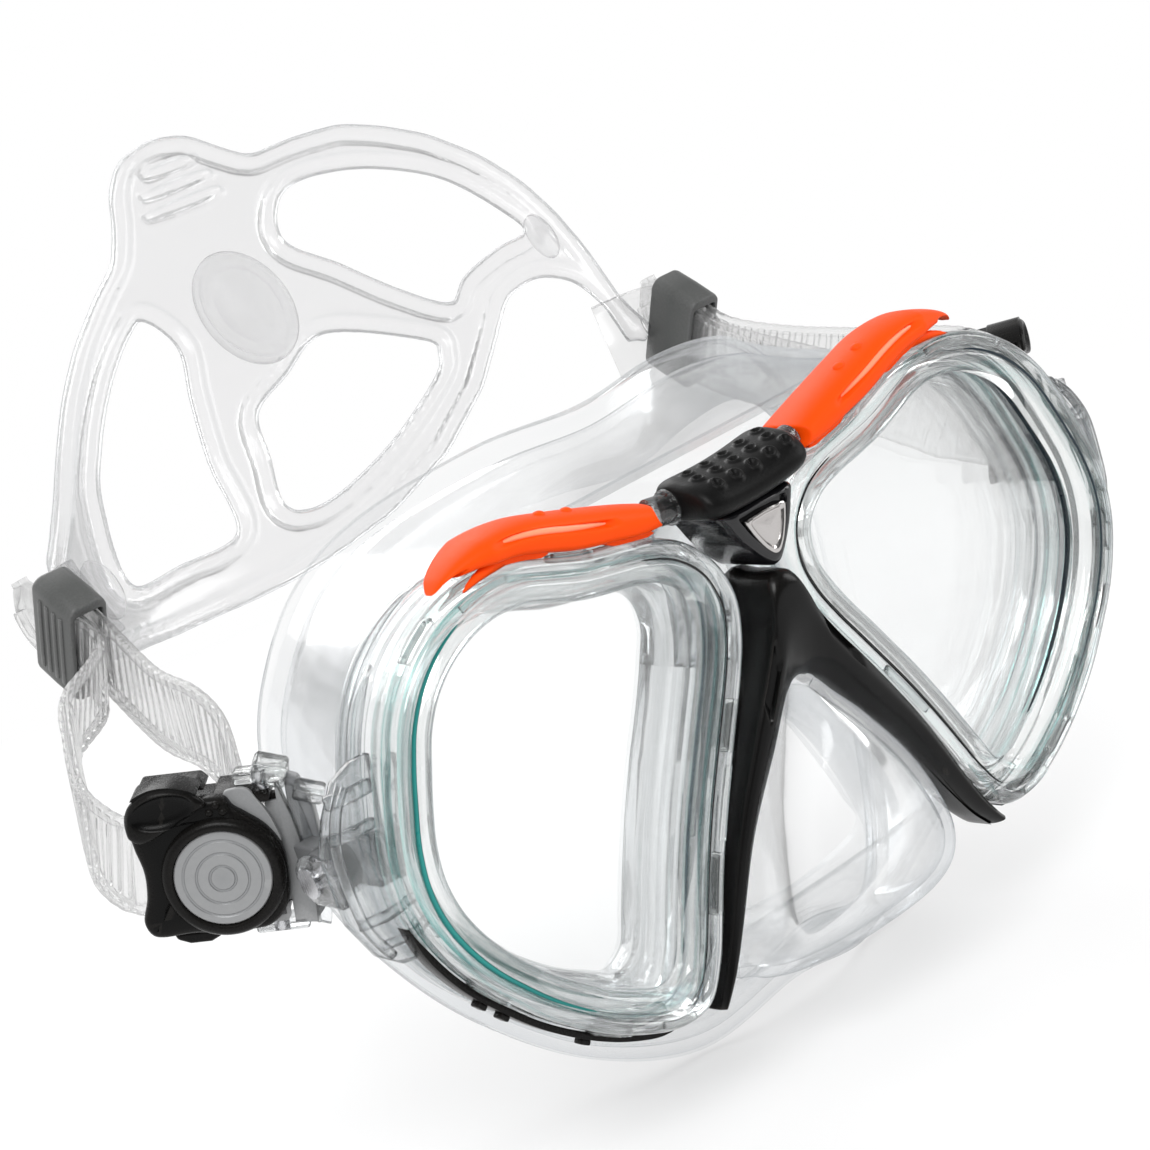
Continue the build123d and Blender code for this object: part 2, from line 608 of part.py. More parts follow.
def roller():
    with BuildPart() as tube:
        with BuildSketch(edge_plane(-5.4)):
            with Locations(ROLLER):
                Circle(ROLLER_R)
                Circle(ROLLER_PIN_R + RUN_CLEAR, mode=Mode.SUBTRACT)
        extrude(amount=15.8)
    return tube.part


def pawl():
    with BuildPart() as catch:
        with BuildSketch(edge_plane(-4.6)):
            with BuildLine():
                Polyline(*PAWL_OUTLINE, close=True)
            make_face()
            with Locations(PAWL):
                Circle(PAWL_PIN_R + RUN_CLEAR, mode=Mode.SUBTRACT)
        extrude(amount=12.2)
    return catch.part


def pawl_spring():
    start = buckle_point(PAWL[0], 8.3, -PAWL[1])
    with BuildPart() as spring:
        with BuildLine(Plane(origin=start, x_dir=FORWARD, z_dir=UPWARD)) as coil:
            Helix(pitch=0.62, height=1.9, radius=1.35)
        with BuildSketch(Plane(origin=coil.line @ 0, z_dir=coil.line % 0)):
            Circle(0.22)
        sweep(is_frenet=True)
    return spring.part


# ================================================================= straps
# Middle line of the strap round the roller, as (forward, inwards)
WRAP_R = ROLLER_R + 0.15 + STRAP_T / 2
WRAP = [(ROLLER[0] + WRAP_R * cos(radians(a)), ROLLER[1] - WRAP_R * sin(radians(a)))
        for a in range(90, -36, -9)]
TOP_INWARDS = WRAP[0][1]           # straight strap outside the roller
END_FORWARD, END_INWARDS = WRAP[-1]


def strap_wrap():
    """Piece of strap that turns round the roller."""
    path = [(-22.4, TOP_INWARDS), (-14.0, TOP_INWARDS), *WRAP,
            (END_FORWARD - 1.2, END_INWARDS + 1.7)]
    with BuildPart() as wrap:
        with BuildSketch(edge_plane(STRAP_MID_Y - STRAP_W / 2)):
            with BuildLine():
                Polyline(*band(path, STRAP_T), close=True)
            make_face()
        extrude(amount=STRAP_W)
    return wrap.part


def on_run(offset, along):
    """Point of the straight keeper zone, from the keeper's middle."""
    return Vector(KEEPER_X + offset, KEEPER_Y, KEEPER_Z) + RUN_DIR * along


# Strap stations: (middle point, direction of the strap's width)
INNER_RUN = [
    (buckle_point(END_FORWARD - 3.2, STRAP_MID_Y + 0.6, -END_INWARDS - 4.4), UPWARD),
    ((-80.4, 48.0, 16.5), (0.05, -0.25, 0.96)),
    (on_run(LAYER_OFFSET, -13.0), WIDTH_DIR),
    (on_run(LAYER_OFFSET, 7.5), WIDTH_DIR)]
OUTER_RUN = [
    (buckle_point(-22.8, STRAP_MID_Y, -TOP_INWARDS), UPWARD),
    (buckle_point(-24.4, STRAP_MID_Y, -TOP_INWARDS), UPWARD),
    ((-102.2, 46.2, 16.6), (0.12, -0.3, 0.95)),
    ((-99.5, 54.0, 21.5), (0.05, -0.45, 0.88)),
    ((-93.5, 63.0, 26.5), (0.0, -0.5, 0.86)),
    ((-85.0, 72.5, 29.0), WIDTH_DIR),
    (on_run(-LAYER_OFFSET, -13.0), WIDTH_DIR),
    (on_run(-LAYER_OFFSET, 13.0), WIDTH_DIR)]


def section_plane(stations, i):
    """Plane square to the run at a station, local x along the strap's width."""
    before = Vector(stations[max(i - 1, 0)][0])
    after = Vector(stations[min(i + 1, len(stations) - 1)][0])
    tangent = (after - before).normalized()
    width = Vector(stations[i][1])
    width = width - tangent * width.dot(tangent)
    return Plane(origin=stations[i][0], x_dir=width, z_dir=tangent)


def strap_run():
    with BuildPart() as run:
        for stations in (INNER_RUN, OUTER_RUN):
            for i in range(len(stations)):
                with BuildSketch(section_plane(stations, i)):
                    Rectangle(STRAP_W, STRAP_T)
            loft(ruled=True)
    return run.part


def keeper():
    start = on_run(0, -KEEPER_LEN / 2)
    with BuildPart() as loop:
        with BuildSketch(Plane(origin=start, x_dir=(1, 0, 0), z_dir=RUN_DIR)):
            RectangleRounded(7.6, 20.4, radius=2.2)
            RectangleRounded(5.5, 16.2, radius=0.5, mode=Mode.SUBTRACT)
        extrude(amount=KEEPER_LEN)
        chamfer(loop.edges().group_by(Axis((0, 0, 0), RUN_DIR))[-1], length=0.35)
    return loop.part


# Head strap outline (x, z), ends cut square at the keepers, and its three openings
HEAD_OUT = [
    (-66.4, 45.6), (-63.0, 47.4), (-56.0, 53.0), (-49.0, 60.0), (-42.0, 67.0), (-34.0, 73.8),
    (-25.0, 80.0), (-17.5, 84.5), (-13.0, 90.5), (-10.0, 96.0), (-5.0, 100.5), (3.0, 102.0),
    (10.0, 100.5), (15.0, 96.0), (19.5, 92.6), (30.0, 92.8), (40.0, 92.0), (47.0, 89.0),
    (54.0, 84.5), (60.0, 77.5), (63.5, 70.5), (65.4, 63.0), (66.3, 54.0), (66.4, 46.0),
    (66.4, 34.5), (65.0, 38.0), (63.2, 47.0), (61.8, 51.0), (57.0, 53.6), (50.0, 52.0),
    (42.0, 44.5), (35.0, 38.5), (21.0, 31.0), (4.0, 26.0), (-11.0, 24.0), (-21.0, 23.4),
    (-31.0, 23.6), (-49.0, 25.0), (-62.0, 27.0), (-66.4, 28.2)]
OPEN_UP = [
    (15.5, 76.0), (19.0, 83.0), (26.0, 85.8), (37.0, 84.5), (46.0, 81.0), (53.0, 76.0),
    (58.0, 68.0), (59.8, 61.5), (53.0, 60.0), (45.0, 57.5), (39.0, 54.0), (31.0, 60.0),
    (23.0, 68.5)]
OPEN_LOW = [
    (-18.5, 73.8), (-15.2, 67.0), (-19.0, 58.0), (-23.0, 47.0), (-26.0, 34.2), (-40.0, 33.6),
    (-53.0, 35.4), (-48.5, 49.0), (-42.0, 57.0), (-33.0, 65.5), (-24.0, 72.0)]
OPEN_MID = [
    (13.0, 59.0), (31.0, 50.5), (31.8, 47.0), (28.0, 43.2), (13.0, 36.6), (-3.0, 32.4),
    (-12.0, 32.2), (-15.8, 35.2), (-13.0, 43.0), (-9.8, 51.0), (0.0, 55.0)]
# Sheet it is cut from: curved across, leaning back
SHEET_Y, SHEET_Z = 104.0, 26.0     # depth of the sheet's middle, at this height
SHEET_LEAN = 0.5                   # y per z
SHEET_SAG, SHEET_HALF = 22.0, 76   # ends this far forward, half width
SHEET_T = 2.4                      # along Y


def head_strap():
    front = [(x, SHEET_Y - SHEET_SAG * abs(x / SHEET_HALF) ** 4 - SHEET_Z * SHEET_LEAN)
             for x in range(-SHEET_HALF, SHEET_HALF + 1, 8)]
    back = [(x, y + SHEET_T) for x, y in reversed(front)]
    with BuildPart() as strap:
        with BuildSketch(Plane.XY):
            with BuildLine():
                Spline(*front)
                Line(front[-1], back[0])
                Spline(*back)
                Line(back[-1], front[0])
            make_face()
        extrude(amount=115 * (1 + SHEET_LEAN ** 2) ** 0.5, dir=(0, SHEET_LEAN, 1))
        with BuildSketch(at_y(60)):
            with BuildLine():
                Polyline(*HEAD_OUT, close=True)
            make_face()
            for hole in (OPEN_UP, OPEN_LOW, OPEN_MID):
                with BuildLine():
                    Spline(*hole, periodic=True)
                make_face(mode=Mode.SUBTRACT)
        extrude(amount=-110, mode=Mode.INTERSECT)
    return strap.part


# ================================================================= all pieces
def mirrored(part):
    with BuildPart() as twin:
        mirror(part, about=Plane.YZ)
    return twin.part


pieces = {
    "left_bezel": bezel(),
    "left_lens": lens(),
    "frame": rigid_frame(),
    "left_accent": brow_accent(),
    "bridge_grip": bridge_grip(),
    "bridge_shield": bridge_shield(),
    "bridge_insert": bridge_insert(),
    "nose_trim": nose_trim(),
    "left_lower_trim": lower_trim(),
    "skirt": skirt(),
    "right_pitch_pin": pitch_pin(),
    "right_yoke": yoke(),
    "right_yaw_pins": cross_pin(YAW, YAW_PIN_R, (-10.4, -6.0), (11.0, 15.2)),
    "right_buckle_body": buckle_body(),
    "right_buckle_badge": buckle_badge(),
    "right_upper_button": button(
        UPPER_BUTTON, base=-4.6, height=6.6, stem=UPPER_STEM, stem_start=9.4, stem_length=5.0),
    "right_lower_button": button(
        LOWER_BUTTON, base=-4.4, height=6.4, stem=LOWER_STEM, stem_start=-9.0, stem_length=4.6),
    "right_roller_pin": cross_pin(ROLLER, ROLLER_PIN_R, (-7.8, 12.4)),
    "right_roller": roller(),
    "right_pawl_pin": cross_pin(PAWL, PAWL_PIN_R, (-6.9, 11.8)),
    "right_pawl": pawl(),
    "right_pawl_spring": pawl_spring(),
    "right_strap_wrap": strap_wrap(),
    "right_strap_run": strap_run(),
    "right_keeper": keeper(),
    "head_strap": head_strap(),
}
OTHER_SIDE = {"left": "right", "right": "left"}
for name in list(pieces):
    side, _, kind = name.partition("_")
    if side in OTHER_SIDE:
        pieces[f"{OTHER_SIDE[side]}_{kind}"] = mirrored(pieces[name])

os.makedirs("parts", exist_ok=True)
for name, part in pieces.items():
    part.label = name
    export_step(part, f"parts/{name}.step")
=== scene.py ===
import bpy
import bmesh
import math
import numpy as np
from mathutils import Vector, Matrix


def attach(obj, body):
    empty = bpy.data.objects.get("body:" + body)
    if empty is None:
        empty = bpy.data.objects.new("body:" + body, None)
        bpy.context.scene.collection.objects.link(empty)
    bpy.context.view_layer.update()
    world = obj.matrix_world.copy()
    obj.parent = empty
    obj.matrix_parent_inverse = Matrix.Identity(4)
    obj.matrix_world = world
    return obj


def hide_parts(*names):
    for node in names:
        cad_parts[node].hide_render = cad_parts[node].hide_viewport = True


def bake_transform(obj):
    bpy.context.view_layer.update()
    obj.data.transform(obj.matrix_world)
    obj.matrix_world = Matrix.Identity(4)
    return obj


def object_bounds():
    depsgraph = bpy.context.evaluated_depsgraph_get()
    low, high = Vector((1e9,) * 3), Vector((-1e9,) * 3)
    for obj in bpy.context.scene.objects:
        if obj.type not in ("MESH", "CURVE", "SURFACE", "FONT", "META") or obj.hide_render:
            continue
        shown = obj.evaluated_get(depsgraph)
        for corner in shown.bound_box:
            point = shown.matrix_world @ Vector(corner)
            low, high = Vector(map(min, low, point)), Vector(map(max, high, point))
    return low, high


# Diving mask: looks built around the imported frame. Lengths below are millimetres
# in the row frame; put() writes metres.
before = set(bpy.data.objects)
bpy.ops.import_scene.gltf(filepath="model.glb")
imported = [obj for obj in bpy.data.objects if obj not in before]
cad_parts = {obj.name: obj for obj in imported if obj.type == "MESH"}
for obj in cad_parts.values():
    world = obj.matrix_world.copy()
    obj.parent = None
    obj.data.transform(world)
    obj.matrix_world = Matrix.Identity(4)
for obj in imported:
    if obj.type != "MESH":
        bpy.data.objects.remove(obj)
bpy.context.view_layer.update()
K = 0.001

# ------------------------------------------------------------------ outlines
# Outlines of the wearer's-left ring as (x, z), same count, growing inwards
RING_OUT = [(78.8, 0.0), (78.0, 6.5), (76.1, 12.8), (74.0, 19.0), (71.1, 24.9), (67.0, 30.0), (61.8, 34.0), (55.8, 36.7), (49.4, 37.9),
            (42.8, 37.4), (36.6, 35.4), (30.4, 33.3), (23.9, 32.0), (17.5, 30.5), (11.8, 27.4), (7.6, 22.4), (5.7, 16.2), (6.8, 9.8),
            (9.6, 3.8), (12.9, -1.9), (16.2, -7.5), (19.5, -13.2), (22.6, -19.0), (25.5, -24.9), (28.2, -30.9), (31.1, -36.7),
            (35.4, -41.6), (41.8, -42.0), (48.0, -39.8), (53.7, -36.6), (59.0, -32.7), (63.9, -28.3), (68.3, -23.4), (72.4, -18.3),
            (75.7, -12.6), (78.0, -6.5)]
SEAT = [(76.7, -0.1), (76.0, 6.0), (74.3, 12.0), (72.1, 17.8), (69.5, 23.4), (65.7, 28.3), (60.9, 32.1), (55.2, 34.6), (49.1, 35.8),
        (43.0, 35.3), (37.1, 33.4), (31.3, 31.3), (25.2, 29.9), (19.1, 28.8), (13.6, 26.2), (9.5, 21.6), (7.8, 15.7), (9.1, 9.7),
        (11.9, 4.1), (15.0, -1.3), (18.2, -6.6), (21.3, -11.9), (24.2, -17.4), (26.9, -22.9), (29.5, -28.6), (32.1, -34.2),
        (35.7, -39.2), (41.7, -39.8), (47.4, -37.6), (52.8, -34.6), (57.8, -30.9), (62.4, -26.8), (66.6, -22.2), (70.4, -17.3),
        (73.6, -12.0), (75.8, -6.2)]
LENS = [(76.4, -0.1), (75.8, 6.0), (74.1, 11.9), (71.9, 17.7), (69.3, 23.2), (65.6, 28.2), (60.8, 31.9), (55.2, 34.5), (49.1, 35.5),
        (43.0, 35.1), (37.1, 33.2), (31.3, 31.1), (25.3, 29.8), (19.3, 28.6), (13.7, 26.1), (9.7, 21.4), (8.1, 15.6), (9.4, 9.6),
        (12.1, 4.1), (15.2, -1.2), (18.4, -6.5), (21.4, -11.8), (24.4, -17.2), (27.1, -22.8), (29.6, -28.4), (32.3, -34.0),
        (35.8, -39.0), (41.7, -39.6), (47.4, -37.4), (52.8, -34.4), (57.7, -30.8), (62.3, -26.6), (66.5, -22.1), (70.2, -17.2),
        (73.4, -11.9), (75.6, -6.2)]
RING_OPEN = [(71.8, -0.1), (71.2, 5.2), (69.7, 10.3), (67.8, 15.3), (65.7, 20.3), (62.6, 24.6), (58.5, 27.9), (53.6, 30.1), (48.3, 31.0),
             (43.0, 30.4), (38.0, 28.6), (33.0, 26.8), (27.8, 25.6), (22.5, 24.6), (17.5, 22.9), (13.6, 19.3), (12.9, 14.1),
             (14.7, 9.1), (17.2, 4.4), (20.0, -0.2), (22.7, -4.8), (25.4, -9.4), (27.9, -14.1), (30.3, -18.9), (32.6, -23.8),
             (34.8, -28.6), (37.2, -33.4), (41.7, -34.9), (46.6, -32.6), (51.2, -29.9), (55.4, -26.6), (59.4, -23.0), (63.0, -19.1),
             (66.3, -14.9), (69.1, -10.3), (71.0, -5.4)]
REAR_OPEN = [(70.3, -0.1), (69.8, 5.0), (68.3, 9.8), (66.5, 14.6), (64.6, 19.2), (61.7, 23.4), (57.8, 26.6), (53.1, 28.6), (48.1, 29.4),
             (43.1, 28.9), (38.3, 27.2), (33.6, 25.4), (28.7, 24.2), (23.7, 23.3), (18.8, 21.9), (15.0, 18.6), (14.4, 13.7),
             (16.4, 9.1), (18.8, 4.6), (21.4, 0.2), (24.1, -4.1), (26.6, -8.5), (29.0, -12.9), (31.3, -17.5), (33.5, -22.1),
             (35.6, -26.7), (37.7, -31.3), (41.9, -33.3), (46.4, -31.1), (50.7, -28.4), (54.7, -25.3), (58.4, -21.8), (61.9, -18.1),
             (65.0, -14.1), (67.7, -9.8), (69.6, -5.1)]
TRIM_IN = [(79.1, 0.0), (78.2, 6.6), (76.4, 12.9), (74.2, 19.2), (71.3, 25.1), (67.2, 30.2), (61.9, 34.2), (55.9, 37.0), (49.4, 38.2),
           (42.8, 37.7), (36.5, 35.7), (30.3, 33.6), (23.8, 32.3), (17.3, 30.8), (11.6, 27.6), (7.3, 22.6), (5.4, 16.3), (6.5, 9.8),
           (9.3, 3.8), (12.6, -1.9), (15.9, -7.6), (19.3, -13.3), (22.4, -19.1), (25.3, -25.1), (28.0, -31.1), (31.0, -37.0),
           (35.4, -41.9), (41.8, -42.3), (48.0, -40.0), (53.8, -36.9), (59.2, -33.0), (64.1, -28.5), (68.5, -23.6), (72.6, -18.4),
           (76.0, -12.7), (78.2, -6.5)]
TRIM_OUT = [(80.8, 0.0), (79.9, 6.9), (78.0, 13.5), (75.7, 20.0), (72.6, 26.2), (68.2, 31.5), (62.7, 35.7), (56.5, 38.5), (49.7, 39.8),
            (42.8, 39.4), (36.2, 37.4), (29.7, 35.2), (22.9, 33.8), (16.2, 32.1), (10.3, 28.7), (5.9, 23.4), (3.8, 16.9), (4.7, 10.1),
            (7.4, 3.8), (10.8, -2.2), (14.4, -8.2), (17.9, -14.2), (21.1, -20.2), (24.1, -26.5), (26.9, -32.8), (30.2, -38.9),
            (35.0, -43.6), (41.8, -43.9), (48.4, -41.7), (54.4, -38.5), (60.0, -34.4), (65.1, -29.8), (69.8, -24.7), (74.0, -19.2),
            (77.5, -13.3), (79.9, -6.8)]

# Head strap outline (x, z), ends cut square at the keepers, and its three openings
HEAD_OUT = [(-66.4, 45.6), (-63.0, 47.4), (-56.0, 53.0), (-49.0, 60.0), (-42.0, 67.0), (-34.0, 73.8), (-25.0, 80.0), (-17.5, 84.5),
            (-13.0, 90.5), (-10.0, 96.0), (-5.0, 100.5), (3.0, 102.0), (10.0, 100.5), (15.0, 96.0), (19.5, 92.6), (30.0, 92.8),
            (40.0, 92.0), (47.0, 89.0), (54.0, 84.5), (60.0, 77.5), (63.5, 70.5), (65.4, 63.0), (66.3, 54.0), (66.4, 46.0),
            (66.4, 34.5), (65.0, 38.0), (63.2, 47.0), (61.8, 51.0), (57.0, 53.6), (50.0, 52.0), (42.0, 44.5), (35.0, 38.5),
            (21.0, 31.0), (4.0, 26.0), (-11.0, 24.0), (-21.0, 23.4), (-31.0, 23.6), (-49.0, 25.0), (-62.0, 27.0), (-66.4, 28.2)]
OPEN_UP = [(15.5, 76.0), (19.0, 83.0), (26.0, 85.8), (37.0, 84.5), (46.0, 81.0), (53.0, 76.0), (58.0, 68.0), (59.8, 61.5), (53.0, 60.0),
           (45.0, 57.5), (39.0, 54.0), (31.0, 60.0), (23.0, 68.5)]
OPEN_LOW = [(-18.5, 73.8), (-15.2, 67.0), (-19.0, 58.0), (-23.0, 47.0), (-26.0, 34.2), (-40.0, 33.6), (-53.0, 35.4), (-48.5, 49.0),
            (-42.0, 57.0), (-33.0, 65.5), (-24.0, 72.0)]
OPEN_MID = [(13.0, 59.0), (31.0, 50.5), (31.8, 47.0), (28.0, 43.2), (13.0, 36.6), (-3.0, 32.4), (-12.0, 32.2), (-15.8, 35.2),
            (-13.0, 43.0), (-9.8, 51.0), (0.0, 55.0)]


ACC_LOW = [(14.6, 31.6), (20.0, 31.9), (26.0, 33.2), (31.8, 34.6), (37.4, 36.6), (43.0, 38.3), (49.4, 38.9), (54.0, 38.3), (56.8, 37.4)]
ACC_TOP = [(57.0, 38.6), (55.2, 40.8), (51.2, 42.5), (46.0, 43.3), (39.4, 42.9), (33.0, 41.2), (26.0, 39.0), (20.0, 37.0), (15.2, 35.2)]


# ------------------------------------------------------------------ curve and mesh helpers
def unit(v):
    v = np.array(v, float)
    return v / max(np.linalg.norm(v), 1e-12)


def cr(p0, p1, p2, p3, t):
    return 0.5 * (2 * p1 + (p2 - p0) * t + (2 * p0 - 5 * p1 + 4 * p2 - p3) * t * t + (3 * p1 - p0 - 3 * p2 + p3) * t ** 3)


def closed(pts, per=5):
    """Smooth closed curve, a fixed number of samples for each span, so matched outlines stay matched."""
    P = np.array(pts, float)
    m = len(P)
    return np.array([cr(P[i - 1], P[i], P[(i + 1) % m], P[(i + 2) % m], k / per) for i in range(m) for k in range(per)])


def opened(pts, n):
    """Smooth open curve resampled evenly to n points."""
    P = np.array(pts, float)
    m = len(P)
    Q = np.vstack([2 * P[0] - P[1], P, 2 * P[-1] - P[-2]])
    d = np.array([cr(Q[i], Q[i + 1], Q[i + 2], Q[i + 3], k / 24) for i in range(m - 1) for k in range(24)] + [P[-1]])
    return even(d, n)


def even(d, n, close=False):
    d = np.array(d, float)
    if close:
        d = np.vstack([d, d[:1]])
    s = np.concatenate([[0], np.cumsum(np.linalg.norm(np.diff(d, axis=0), axis=1))])
    q = np.linspace(0, s[-1], n + 1)[:-1] if close else np.linspace(0, s[-1], n)
    return np.stack([np.interp(q, s, d[:, k]) for k in range(d.shape[1])], 1)


def poly(d, n):
    """Straight-sided closed polygon resampled evenly."""
    return even(d, n, close=True)


def outward(xz, d):
    """Closed outline moved outwards by d along its own normals; the outline may turn either way."""
    P = np.array(xz, float)
    T = np.roll(P, -1, 0) - np.roll(P, 1, 0)
    N = np.stack([T[:, 1], -T[:, 0]], 1)
    N /= np.linalg.norm(N, axis=1)[:, None]
    area = 0.5 * np.sum(P[:, 0] * np.roll(P[:, 1], -1) - np.roll(P[:, 0], -1) * P[:, 1])
    return P + N * d * (1 if area > 0 else -1)


def at(xz, y):
    xz = np.array(xz, float)
    return np.stack([xz[:, 0], np.full(len(xz), float(y)), xz[:, 1]], 1)


def grid(R, cu=True, cv=False, caps=False, off=0):
    """Faces of a grid of points R (rows, n, 3)."""
    R = np.array(R, float)
    a, n = R.shape[:2]
    V = R.reshape(-1, 3)
    F = []
    for i in range(a if cv else a - 1):
        k = (i + 1) % a
        for j in range(n if cu else n - 1):
            l = (j + 1) % n
            F.append((off + i * n + j, off + i * n + l, off + k * n + l, off + k * n + j))
    if caps:
        F.append(tuple(off + j for j in range(n))[::-1])
        F.append(tuple(off + (a - 1) * n + j for j in range(n)))
    return V, F


def put(name, V, F, sharp=38, mats=(), fmat=None):
    me = bpy.data.meshes.new(name)
    me.from_pydata([tuple(float(c) * K for c in v) for v in V], [], [tuple(f) for f in F])
    ob = bpy.data.objects.new(name, me)
    bpy.context.scene.collection.objects.link(ob)
    for m in mats:
        me.materials.append(m)
    if fmat is not None:
        me.polygons.foreach_set("material_index", np.array(fmat, np.int32))
    tidy(ob, sharp)
    return ob


def tidy(ob, sharp=38):
    """Outward normals, smooth faces, and hard edges only where the shape turns sharply."""
    bm = bmesh.new()
    bm.from_mesh(ob.data)
    bmesh.ops.remove_doubles(bm, verts=bm.verts, dist=2e-7)
    bmesh.ops.dissolve_degenerate(bm, dist=1e-8, edges=bm.edges)
    bmesh.ops.recalc_face_normals(bm, faces=bm.faces)
    lim = math.radians(sharp)
    for f in bm.faces:
        f.smooth = True
    for e in bm.edges:
        e.smooth = not (len(e.link_faces) == 2 and e.calc_face_angle(0) > lim)
    bm.to_mesh(ob.data)
    bm.free()
    ob.data.update()


def bake(ob, sharp=38):
    dg = bpy.context.evaluated_depsgraph_get()
    me = bpy.data.meshes.new_from_object(ob.evaluated_get(dg))
    old = ob.data
    ob.modifiers.clear()
    ob.data = me
    bpy.data.meshes.remove(old)
    tidy(ob, sharp)
    return ob


def bevel(ob, w, seg=3, angle=32, sharp=38):
    m = ob.modifiers.new("edge", "BEVEL")
    m.width, m.segments, m.limit_method, m.angle_limit = w * K, seg, "ANGLE", math.radians(angle)
    m.use_clamp_overlap = True
    return bake(ob, sharp)


def join(name, obs, sharp=38):
    """One object from several, keeping each one's material slots."""
    mats, V, F, M = [], [], [], []
    for o in obs:
        base = len(V)
        idx = []
        for m in o.data.materials:
            if m not in mats:
                mats.append(m)
            idx.append(mats.index(m))
        V += [tuple(v.co / K) for v in o.data.vertices]
        for p in o.data.polygons:
            F.append(tuple(base + i for i in p.vertices))
            M.append(idx[p.material_index] if idx else 0)
    for o in obs:
        me = o.data
        bpy.data.objects.remove(o)
        bpy.data.meshes.remove(me)
    return put(name, V, F, sharp, mats, M)


def mirrored(ob, name):
    V = [(-v.co.x / K, v.co.y / K, v.co.z / K) for v in ob.data.vertices]
    F = [tuple(p.vertices)[::-1] for p in ob.data.polygons]
    return put(name, V, F, 38, list(ob.data.materials), [p.material_index for p in ob.data.polygons])


class Pl:
    """A working plane: local x, y, z directions at an origin."""

    def __init__(self, o, x, z):
        self.o, self.x, self.z = np.array(o, float), unit(x), unit(z)
        self.y = np.cross(self.z, self.x)

    def __call__(self, p, h=0.0):
        return self.o + self.x * p[0] + self.y * p[1] + self.z * h


def prism(name, outline, pl, z0, z1, mats=(), bev=0.4, seg=3, sharp=38):
    n = len(outline)
    V = [pl(p, z0) for p in outline] + [pl(p, z1) for p in outline]
    F = [tuple(range(n))[::-1], tuple(range(n, 2 * n))] + [(i, (i + 1) % n, n + (i + 1) % n, n + i) for i in range(n)]
    ob = put(name, V, F, sharp, mats)
    return bevel(ob, bev, seg, sharp=sharp) if bev else ob


def lathe(name, prof, pl, mats=(), n=72, sharp=38):
    """Closed profile of (r, h) turned about the plane's z through its origin."""
    R = []
    for r, h in prof:
        R.append([pl((max(r, 0.0) * math.cos(a), max(r, 0.0) * math.sin(a)), h) for a in np.linspace(0, 2 * math.pi, n, endpoint=False)])
    V, F = grid(R, True, True)
    return put(name, V, F, sharp, mats)


def box_run(name, path, wide, tall, mats=(), up=(0, 1, 0), bev=0.35, seg=2):
    """Rectangular bar along a path; wide lies in the plane normal to up."""
    P = np.array(path, float)
    R = []
    for i, p in enumerate(P):
        t = unit(P[min(i + 1, len(P) - 1)] - P[max(i - 1, 0)])
        s = unit(np.cross(t, up))
        u = unit(np.cross(s, t))
        R.append([p + s * wide / 2 * a + u * tall / 2 * b for a, b in ((-1, -1), (1, -1), (1, 1), (-1, 1))])
    V, F = grid(R, True, False, True)
    ob = put(name, V, F, 38, mats)
    return bevel(ob, bev, seg) if bev else ob


def tube(name, path, rad, mats=(), n=14, close=False):
    P = np.array(path, float)
    m = len(P)
    rad = np.full(m, rad) if np.isscalar(rad) else np.array(rad)
    R = []
    nrm = None
    for i in range(m):
        a = P[(i + 1) % m] if close else P[min(i + 1, m - 1)]
        b = P[i - 1] if close or i else P[0]
        t = unit(a - b)
        if nrm is None:
            nrm = unit(np.cross(t, (0.31, 0.87, 0.38)))
        nrm = unit(nrm - t * np.dot(nrm, t))
        bi = np.cross(t, nrm)
        R.append([P[i] + (nrm * math.cos(q) + bi * math.sin(q)) * rad[i] for q in np.linspace(0, 2 * math.pi, n, endpoint=False)])
    V, F = grid(R, True, close, not close)
    return put(name, V, F, 60, mats)


def remesh(ob, voxel, smooth=6, factor=0.5, sharp=60):
    m = ob.modifiers.new("skin", "REMESH")
    m.mode, m.voxel_size, m.use_smooth_shade = "VOXEL", voxel * K, True
    if smooth:
        s = ob.modifiers.new("soften", "SMOOTH")
        s.factor, s.iterations = factor, smooth
    return bake(ob, sharp)


def smoothstep(a, b, x):
    t = np.clip((np.array(x, float) - a) / (b - a), 0, 1)
    return t * t * (3 - 2 * t)


